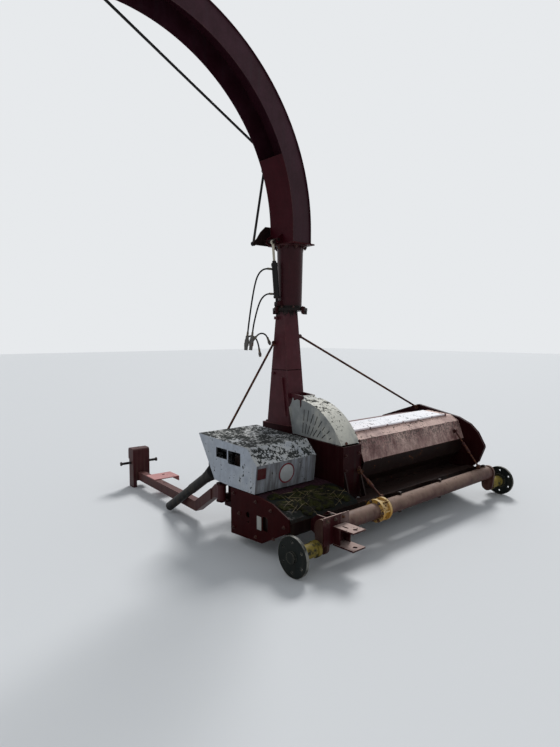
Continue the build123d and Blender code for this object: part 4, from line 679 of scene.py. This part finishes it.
rim_places = [((x, 1.250, 0.806), UP) for x in (0.845, 0.930, 1.015)]
rim_places += [((x, 0.285, z), BACK) for x in (0.850, 1.010) for z in (0.520, 0.640, 0.740)]
bolt_group("housing_bolts", bolt_red, "chassis", rim_places)
hitch_places = [((x, -0.084, 0.345), BACK) for x in (0.245, 0.325, 0.405)]
bolt_group("hitch_bolts", bolt_steel, "chassis", hitch_places)
bpy.data.objects.remove(bolt)

# The round plate on the white cover's rear wall: pressed sheet with a raised dark red rim, riveted on and
# blank. Rain has run down over it as over the cover.
COVER_REAR = Vector((0, -0.9933, -0.1153))
SIGN_AT, SIGN_R, SIGN_SIDES, GRIME_EDGE = (0.408, 0.5006, 0.539), 0.080, 64, (0.05, 0.035, 0.024)


def put(model, name, material, body, where, way):
    """Places the model itself, its Z axis turned to way."""
    made = copied(model, spot(*where), way)
    bpy.data.objects.remove(model)
    settle(made, name, material, body)


sign_white = weathered("sign_white", paint=(0.36, 0.37, 0.37), chalk=(0.34, 0.31, 0.25), fading=0.4,
                       rusting=0.0, dust=0.0, lichen=0.30, streaks=0.7, wear=0.2, edge=GRIME_EDGE,
                       specular=0.3)
sign_red = weathered("sign_red", paint=(0.13, 0.018, 0.026), chalk=(0.22, 0.085, 0.085), fading=0.6,
                     rusting=0.05, dust=0.0, lichen=0.2, streaks=0.5, wear=0.2)
rim = turned([(SIGN_R, -0.0010), (SIGN_R, 0.0024), (SIGN_R - 0.001, 0.0032), (SIGN_R - 0.010, 0.0032),
              (SIGN_R - 0.011, 0.0018)], SIGN_SIDES)
put(rim, "sign_rim", sign_red, "transmission_cover", SIGN_AT, COVER_REAR)
disc = turned([(SIGN_R - 0.012, 0.0010), (SIGN_R - 0.012, 0.0024), (SIGN_R - 0.013, 0.0029)], SIGN_SIDES)
put(disc, "sign_plate", sign_white, "transmission_cover", SIGN_AT, COVER_REAR)

# The blank label beside the side plate's hand hole: a small white enamelled plate with rounded edges,
# riveted flat to the sheet.
LABEL_AT, LABEL_SIZE, LABEL_EDGE = (0.100, 0.4615, 0.2245), (0.051, 0.101, 0.0016), 0.0007
SHARP = math.radians(30)


def bevel_edges(piece, width, segments):
    """Rounds every sharp edge of the piece."""
    hold(piece)
    bpy.ops.object.modifier_add(type="BEVEL")
    rounding = piece.modifiers[-1]
    rounding.width = width
    rounding.segments = segments
    rounding.limit_method = "ANGLE"
    rounding.angle_limit = SHARP
    bpy.ops.object.modifier_apply(modifier=rounding.name)


def block(size):
    """A block that stands on the floor of its own space."""
    deselect()
    bpy.ops.mesh.primitive_cube_add(size=1, location=(0, 0, size[2] / 2))
    made = bpy.context.object
    made.scale = size
    apply_place()
    return made


def plate(size, width):
    """A rectangular plate with rounded edges."""
    made = block(size)
    bevel_edges(made, width, 3)
    return made


label_white = weathered("label_white", paint=(0.33, 0.33, 0.31), chalk=(0.42, 0.40, 0.34), fading=0.5,
                        rusting=0.05, dust=0.1, lichen=0.3, streaks=0.6, wear=0.2, edge=GRIME_EDGE,
                        specular=0.3)
put(plate(LABEL_SIZE, LABEL_EDGE), "blank_label", label_white, "chassis", LABEL_AT, LEFT)

# The reflector at the white cover's left edge: a moulded red case glued to the sheet, its face sunk behind
# a small rim and full of prisms, with dirt over them.
REFLECTOR_AT, REFLECTOR_SIZE, CASE_EDGE = (0.151, 0.49649, 0.575), (0.078, 0.082, 0.010), 0.0022
CASE_RIM, CASE_SLOPE, CASE_SUNK, FACE_AREA, STRAIGHT = 0.005, 0.0012, 0.0018, 0.002, 0.9
PRISM_DARK, PRISM_LIGHT, PRISM_DEPTH = (0.044, 0.003, 0.006, 1), (0.064, 0.005, 0.008, 1), 0.0003
REFLECTOR_DIRT = (0.05, 0.03, 0.022, 1)


def pick_faces(piece, chosen):
    """Opens the piece in edit mode with only those faces selected that chosen() accepts."""
    hold(piece)
    bpy.ops.object.mode_set(mode="EDIT")
    bpy.ops.mesh.select_mode(type="FACE")
    bpy.ops.mesh.select_all(action="DESELECT")
    shape = bmesh.from_edit_mesh(piece.data)
    for face in shape.faces:
        face.select_set(chosen(face))
    shape.select_flush_mode()
    bmesh.update_edit_mesh(piece.data)


reflector_red, tree, shader = new_material("reflector_red", 0.15)
prisms = place(tree, "TexVoronoi", {"Vector": own(tree), "Scale": 420.0}).outputs["Distance"]
dirt = rise(tree, noise(tree, own(tree), scale=24.0), 0.30, 0.80)
color = blend_colors(tree, rise(tree, prisms, 0.1, 0.6), PRISM_DARK, PRISM_LIGHT)
color = blend_colors(tree, times(tree, dirt, 0.55), color, REFLECTOR_DIRT)
set_looks(tree, shader, color, plus(tree, times(tree, dirt, 0.5), 0.22), prisms, PRISM_DEPTH)
case = plate(REFLECTOR_SIZE, CASE_EDGE)
pick_faces(case, lambda face: face.normal.z > STRAIGHT and face.calc_area() > FACE_AREA)
bpy.ops.mesh.inset(thickness=CASE_RIM, depth=0)
bpy.ops.mesh.inset(thickness=CASE_SLOPE, depth=-CASE_SUNK)
bpy.ops.object.mode_set(mode="OBJECT")
put(case, "reflector", reflector_red, "transmission_cover", REFLECTOR_AT, COVER_REAR)

# The side plate's hand holes: a dark sheet behind them, shaped as a second steel sheet riveted behind the
# plate with a dished back, which closes them from the inside. It is painted shade, standing where there is
# only shade behind the holes.
SHADE_SHEET_SIZE, SHADE_SHEET_EDGE, SHADE_SHEET_AT = (0.330, 0.150, 0.003), 0.0008, (0.128, 0.520, 0.235)
SHADE_SHEET_RIM, SHADE_SHEET_DISH, BACK_AREA = 0.012, 0.004, 0.02

hand_hole_shade_sheet = plate(SHADE_SHEET_SIZE, SHADE_SHEET_EDGE)
pick_faces(hand_hole_shade_sheet, lambda face: face.normal.z < -STRAIGHT and face.calc_area() > BACK_AREA)
bpy.ops.mesh.inset(thickness=SHADE_SHEET_RIM, depth=SHADE_SHEET_DISH)
bpy.ops.object.mode_set(mode="OBJECT")
hand_hole_shade_sheet.rotation_euler = (math.radians(90), 0, math.radians(90))
hand_hole_shade_sheet.location = spot(*SHADE_SHEET_AT)
# the dark enamel on this sheet is painted shade seen through the hand holes
settle(hand_hole_shade_sheet, "hand_hole_painted_shade", grimy_enamel, "chassis")

# The quarter cover's lining: a thin dark sheet behind the slotted face that keeps the chaff in, cut to the
# cover's own outline and held by its band.
LINING_X, LINING_T, ARC_MIDDLE, ARC_R, ARC_SIDES = 0.8168, 0.0018, (0.830, 0.470), 0.578, 96
LINING_CUTS = [((0.849, 0.752), (-0.046, 1.0)), ((0.849, 0.752), (-0.974, 0.224)),
               ((0.770, 0.985), (-0.165, -0.986))]


def thicken(piece, thickness, offset):
    """Gives a sheet its thickness, from its middle with offset 0 and outwards with offset 1."""
    hold(piece)
    bpy.ops.object.modifier_add(type="SOLIDIFY")
    sheet = piece.modifiers[-1]
    sheet.thickness = thickness
    sheet.offset = offset
    bpy.ops.object.modifier_apply(modifier=sheet.name)


deselect()
bpy.ops.mesh.primitive_circle_add(vertices=ARC_SIDES, radius=ARC_R, location=spot(LINING_X, *ARC_MIDDLE),
                                  rotation=(0, math.radians(90), 0), fill_type="NGON")
lining = bpy.context.object
apply_place()
bpy.ops.object.mode_set(mode="EDIT")
for (y, z), (across_y, across_z) in LINING_CUTS:
    bpy.ops.mesh.select_all(action="SELECT")
    bpy.ops.mesh.bisect(plane_co=spot(LINING_X, y, z), plane_no=(0, across_y, across_z), clear_inner=True)
bpy.ops.object.mode_set(mode="OBJECT")
thicken(lining, LINING_T, 0)
lining_dark = weathered("lining_dark", paint=(0.010, 0.011, 0.010), chalk=(0.022, 0.022, 0.018), fading=0.5,
                        rusting=0.2, dust=0.1, lichen=0.4)
settle(lining, "quarter_cover_lining", lining_dark, "quarter_cover")

# The hose ends: crimped steel ferrules, ribbed where the press gripped them, over both ends of each hose,
# and the bare steel couplers and plugs that the hoses are screwed to.
FERRULE = [(0.0079, -0.002), (0.0100, 0.000), (0.0100, 0.006), (0.0090, 0.0075), (0.0098, 0.009),
           (0.0098, 0.013), (0.0089, 0.0145), (0.0098, 0.016), (0.0098, 0.020), (0.0089, 0.0215),
           (0.0098, 0.023), (0.0098, 0.030), (0.0078, 0.0320)]
FERRULE_SIDES = 20

ferrule = turned(FERRULE, FERRULE_SIDES)
ferrule_steel = weathered("ferrule_steel", paint=(0.13, 0.115, 0.085), chalk=(0.24, 0.215, 0.165),
                          fading=0.5, rusting=0.45, dust=0.1, lichen=0.1)
ferrules = []
for route in HOSE_ROUTES.values():
    for end, onward in ((route[0], route[1]), (route[-1], route[-2])):
        ferrules.append(copied(ferrule, spot(*end), Vector(onward) - Vector(end)))
bpy.data.objects.remove(ferrule)
settle(join(ferrules), "hose_ferrules", ferrule_steel, "cylinder_barrel")
finish_nodes(bare_steel, "hose_couplers", "hose_plugs")

# The deflector cylinder's end rings: the base ring welded round its foot, and the screwed head with flats
# for the spanner, both painted black with the barrel.
CYLINDER_FOOT, CYLINDER_EYE = Vector((0.795, 1.050, 1.872)), Vector((0.746, 1.050, 2.400))
RING_BASE = [(0.0262, 0.000), (0.0285, 0.002), (0.0285, 0.014), (0.0262, 0.016)]
RING_HEAD = [(0.0262, 0.000), (0.0290, 0.0015), (0.0290, 0.020), (0.0275, 0.022), (0.0275, 0.028),
             (0.0200, 0.030)]
BASE_SIDES, HEAD_FLATS, BASE_ALONG, HEAD_ALONG = 32, 12, 0.10, 0.61

reach = CYLINDER_EYE - CYLINDER_FOOT
base_ring = turned(RING_BASE, BASE_SIDES)
head_ring = turned(RING_HEAD, HEAD_FLATS)
cylinder_rings = [copied(base_ring, spot(*(CYLINDER_FOOT + reach * BASE_ALONG)), reach),
                  copied(head_ring, spot(*(CYLINDER_FOOT + reach * HEAD_ALONG)), reach)]
bpy.data.objects.remove(base_ring)
bpy.data.objects.remove(head_ring)
settle(join(cylinder_rings), "cylinder_rings", rod_black, "cylinder_barrel")

# The drive shaft guard's bell: a cone of soft black plastic with rings moulded round it, and the collar
# where the guard's tube starts. It is pushed over the shaft's first joint.
SHAFT_START, SHAFT_END = Vector((0.170, 1.100, 0.490)), Vector((0.096, 1.738, 0.044))
BELL_MOUTH = [(0.0540, 0.0415), (0.0585, 0.0425), (0.0635, 0.0445), (0.0635, 0.0470)]
BELL_START, BELL_END, BELL_RINGS, BELL_SIDES = (0.0600, 0.048), (0.0445, 0.128), 7, 48
RING_STEPS = ((0.0, 0.0008), (0.25, 0.0030), (0.5, 0.0030), (0.7, 0.0008))
BELL_COLLAR = [(0.0455, 0.132), (0.0470, 0.134), (0.0470, 0.150), (0.0450, 0.152), (0.0400, 0.1525)]

bell_line = list(BELL_MOUTH)
for i in range(BELL_RINGS):
    for step, proud in RING_STEPS:
        share = (i + step) / BELL_RINGS
        radius, height = (start + (end - start) * share for start, end in zip(BELL_START, BELL_END))
        bell_line.append((radius + proud, height))
bell = turned(bell_line + BELL_COLLAR, BELL_SIDES)
put(bell, "guard_bell", guard_plastic, "drive_shaft", SHAFT_START, SHAFT_END - SHAFT_START)

# The claws that hold the turning collar down: four steel brackets welded to the turntable's edge, each with
# a toe that reaches in over the turning ring.
CLAW_SIZE, CLAW_R, CLAW_LOW, CLAW_EDGE = (0.010, 0.030, 0.048), 0.1620, 1.7905, 0.0018
CLAW_ANGLES, TOE_HIGH, TOE_LONG = (0, 90, 180, 270), 0.008, 0.0075

claw = block(CLAW_SIZE)
pick_faces(claw, lambda face: face.normal.z > STRAIGHT)
bpy.ops.mesh.extrude_region_move(TRANSFORM_OT_translate={"value": (0, 0, TOE_HIGH)})
bpy.ops.object.mode_set(mode="OBJECT")
pick_faces(claw, lambda face: face.normal.x < -STRAIGHT and face.calc_center_median().z > CLAW_SIZE[2])
bpy.ops.mesh.extrude_region_move(TRANSFORM_OT_translate={"value": (-TOE_LONG, 0, 0)})
bpy.ops.object.mode_set(mode="OBJECT")
bevel_edges(claw, CLAW_EDGE, 2)
claws = []
for turn, (x, y) in zip(CLAW_ANGLES, on_ring(TOWER, CLAW_R, CLAW_ANGLES)):
    made = duplicate(claw)
    made.rotation_euler = (0, 0, math.radians(turn))
    made.location = spot(x, y, CLAW_LOW)
    claws.append(made)
bpy.data.objects.remove(claw)
settle(join(claws), "turntable_claws", dark_enamel, "chassis")

# The chute's weld seam: a raised and slightly uneven bead of weld metal right round the four walls, where
# the duct's two lengths meet, painted over with them.
SEAM_Z, CHUTE_ENDS, SEAM_HIGH, SEAM_PROUD, SEAM_SUNK = 1.292, (0.800, 1.812), 0.006, 0.0015, 0.001
CHUTE_MIDDLES, CHUTE_SIDES = ((0.918, 1.062), (0.909, 1.049)), ((0.206, 0.292), (0.155, 0.112))
SEAM_CUTS, SEAM_UNEVEN, SEAM_SEED = 40, 0.0008, 7

share = (SEAM_Z - CHUTE_ENDS[0]) / (CHUTE_ENDS[1] - CHUTE_ENDS[0])
middle_x, middle_y = (a + (b - a) * share for a, b in zip(*CHUTE_MIDDLES))
side_x, side_y = (a + (b - a) * share for a, b in zip(*CHUTE_SIDES))
deselect()
bpy.ops.mesh.primitive_cube_add(size=1, location=spot(middle_x, middle_y, SEAM_Z))
seam = bpy.context.object
seam.scale = (side_x - SEAM_SUNK, side_y - SEAM_SUNK, SEAM_HIGH)
apply_place()
pick_faces(seam, lambda face: abs(face.normal.z) > STRAIGHT)
bpy.ops.mesh.delete(type="FACE")
bpy.ops.mesh.select_all(action="SELECT")
bpy.ops.mesh.subdivide(number_cuts=SEAM_CUTS)
bpy.ops.object.mode_set(mode="OBJECT")
thicken(seam, SEAM_PROUD, 1)
bead = random.Random(SEAM_SEED)
for point in seam.data.vertices:
    point.co.z += bead.uniform(-SEAM_UNEVEN, SEAM_UNEVEN)
settle(seam, "chute_seam", chute_enamel, "chassis")

# The moss on the deck: low cushions of it and of rotted chaff, grown together in the hollows of the sloping
# sheet. Each is a flattened and ragged ball, sunk into the deck and tilted with it.
DECK_SLOPE = [(0.126, 0.305), (0.142, 0.322), (0.307, 0.390), (0.464, 0.411)]
CUSHIONS, CUSHION_WIDE, CUSHION_HIGH, LITTER_SEED = 70, (0.030, 0.075), (0.010, 0.020), 31
SQUAT, LUMPS, FLAT_BELOW, LYING_UP, TILT_REACH = (0.55, 1.0), (0.86, 1.06), -0.5, 0.002, 0.02
MOSS_ALONG, MOSS_ACROSS, TUFT_DEPTH = (0.15, 0.44, 0.24), (0.15, 0.79, 0.50), 0.006
# the moss's soil, green and dead tufts are its own colours, painted darker still as painted shade over the
# deck
SOIL, MOSS_GREEN, DEAD_TUFTS = (0.004, 0.0035, 0.002, 1), (0.018, 0.019, 0.003, 1), (0.072, 0.058, 0.013, 1)
litter = random.Random(LITTER_SEED)


def deck_height(y):
    for (y0, z0), (y1, z1) in zip(DECK_SLOPE, DECK_SLOPE[1:]):
        if y <= y1:
            return z0 + (z1 - z0) * (y - y0) / (y1 - y0)
    return DECK_SLOPE[-1][1]


def deck_tilt(y, reach):
    """The deck's slope, taken over reach to the rear and to the front."""
    return math.atan2(deck_height(y + reach) - deck_height(y - reach), 2 * reach)


moss, tree, shader = new_material("moss", 0.1)
tufts = noise(tree, own(tree), scale=95.0, detail=5.0)
turf = noise(tree, own(tree), scale=17.0, detail=3.0)
color = blend_colors(tree, rise(tree, turf, 0.42, 0.6), SOIL, MOSS_GREEN)
color = blend_colors(tree, rise(tree, tufts, 0.58, 0.76), color, DEAD_TUFTS)
set_looks(tree, shader, color, plus(tree, times(tree, tufts, 0.3), 0.75), tufts, TUFT_DEPTH)

cushions = []
for _ in range(CUSHIONS):
    y = litter.triangular(*MOSS_ALONG)
    x = litter.triangular(*MOSS_ACROSS)
    deselect()
    bpy.ops.mesh.primitive_ico_sphere_add(subdivisions=3, radius=1, location=(0, 0, 0))
    cushion = bpy.context.object
    wide = litter.uniform(*CUSHION_WIDE)
    for point in cushion.data.vertices:
        point.co *= litter.uniform(*LUMPS)
        point.co.z = max(point.co.z, FLAT_BELOW)
    cushion.scale = (wide, wide * litter.uniform(*SQUAT), litter.uniform(*CUSHION_HIGH))
    cushion.rotation_euler = (deck_tilt(y, TILT_REACH), 0, 0)
    cushion.location = spot(x, y, deck_height(y) + LYING_UP)
    cushions.append(cushion)
settle(join(cushions), "deck_moss", moss, "chassis")

# The straw on the deck: dry stems that the wind has laid across the moss, each bent a little, most of them
# from side to side and every fifth one up the slope. They lie loose.
STRAWS, STRAW_R, STRAW_LONG, STRAW_BENT = 54, 0.0016, (0.07, 0.19), 0.05
STRAW_REACH, STRAW_TURN, STRAW_LIFT = 0.03, 0.5, (0.006, 0.024)
STRAW_CUTS, STRAW_ALONG, STRAW_ACROSS = (-0.3, -0.1, 0.1, 0.3), (0.16, 0.43, 0.25), (0.20, 0.74)
# the straw's colours are painted darker than dry straw, as painted shade over the deck
STRAW_DARK, STRAW_PALE = (0.035, 0.025, 0.012, 1), (0.20, 0.155, 0.075, 1)
FIBRE_DARK, FIBRE_DEPTH = (0.05, 0.035, 0.02, 1), 0.0006

straw_dry, tree, shader = new_material("straw_dry", 0.2)
which = noise(tree, own(tree), scale=9.0, detail=2.0)
fibre = noise(tree, own(tree), scale=420.0, detail=2.0)
color = blend_colors(tree, rise(tree, which, 0.35, 0.65), STRAW_DARK, STRAW_PALE)
color = blend_colors(tree, times(tree, fibre, 0.4), color, FIBRE_DARK)
set_looks(tree, shader, color, plus(tree, times(tree, fibre, 0.3), 0.5), fibre, FIBRE_DEPTH)

deselect()
bpy.ops.mesh.primitive_cylinder_add(vertices=5, radius=STRAW_R, depth=1, rotation=(0, math.radians(90), 0))
stem = bpy.context.object
apply_place()
bpy.ops.object.mode_set(mode="EDIT")
for cut in STRAW_CUTS:
    bpy.ops.mesh.select_all(action="SELECT")
    bpy.ops.mesh.bisect(plane_co=(cut, 0, 0), plane_no=(1, 0, 0))
bpy.ops.object.mode_set(mode="OBJECT")
straws = []
for i in range(STRAWS):
    straw = duplicate(stem)
    length = litter.uniform(*STRAW_LONG)
    sag = litter.uniform(-STRAW_BENT, STRAW_BENT)
    swerve = litter.uniform(-STRAW_BENT, STRAW_BENT)
    for point in straw.data.vertices:
        share = point.co.x * 2
        point.co.x *= length
        point.co.z -= sag * length * share * share
        point.co.y += swerve * length * share * share
    y = litter.triangular(*STRAW_ALONG)
    x = litter.uniform(*STRAW_ACROSS)
    heading = litter.uniform(-STRAW_TURN, STRAW_TURN) + (math.pi / 2 if i % 5 == 0 else 0)
    straw.rotation_euler = (0, -deck_tilt(y, STRAW_REACH) * math.sin(heading), heading)
    straw.location = spot(x, y, deck_height(y) + litter.uniform(*STRAW_LIFT))
    straws.append(straw)
bpy.data.objects.remove(stem)
settle(join(straws), "deck_straw", straw_dry, "chassis")
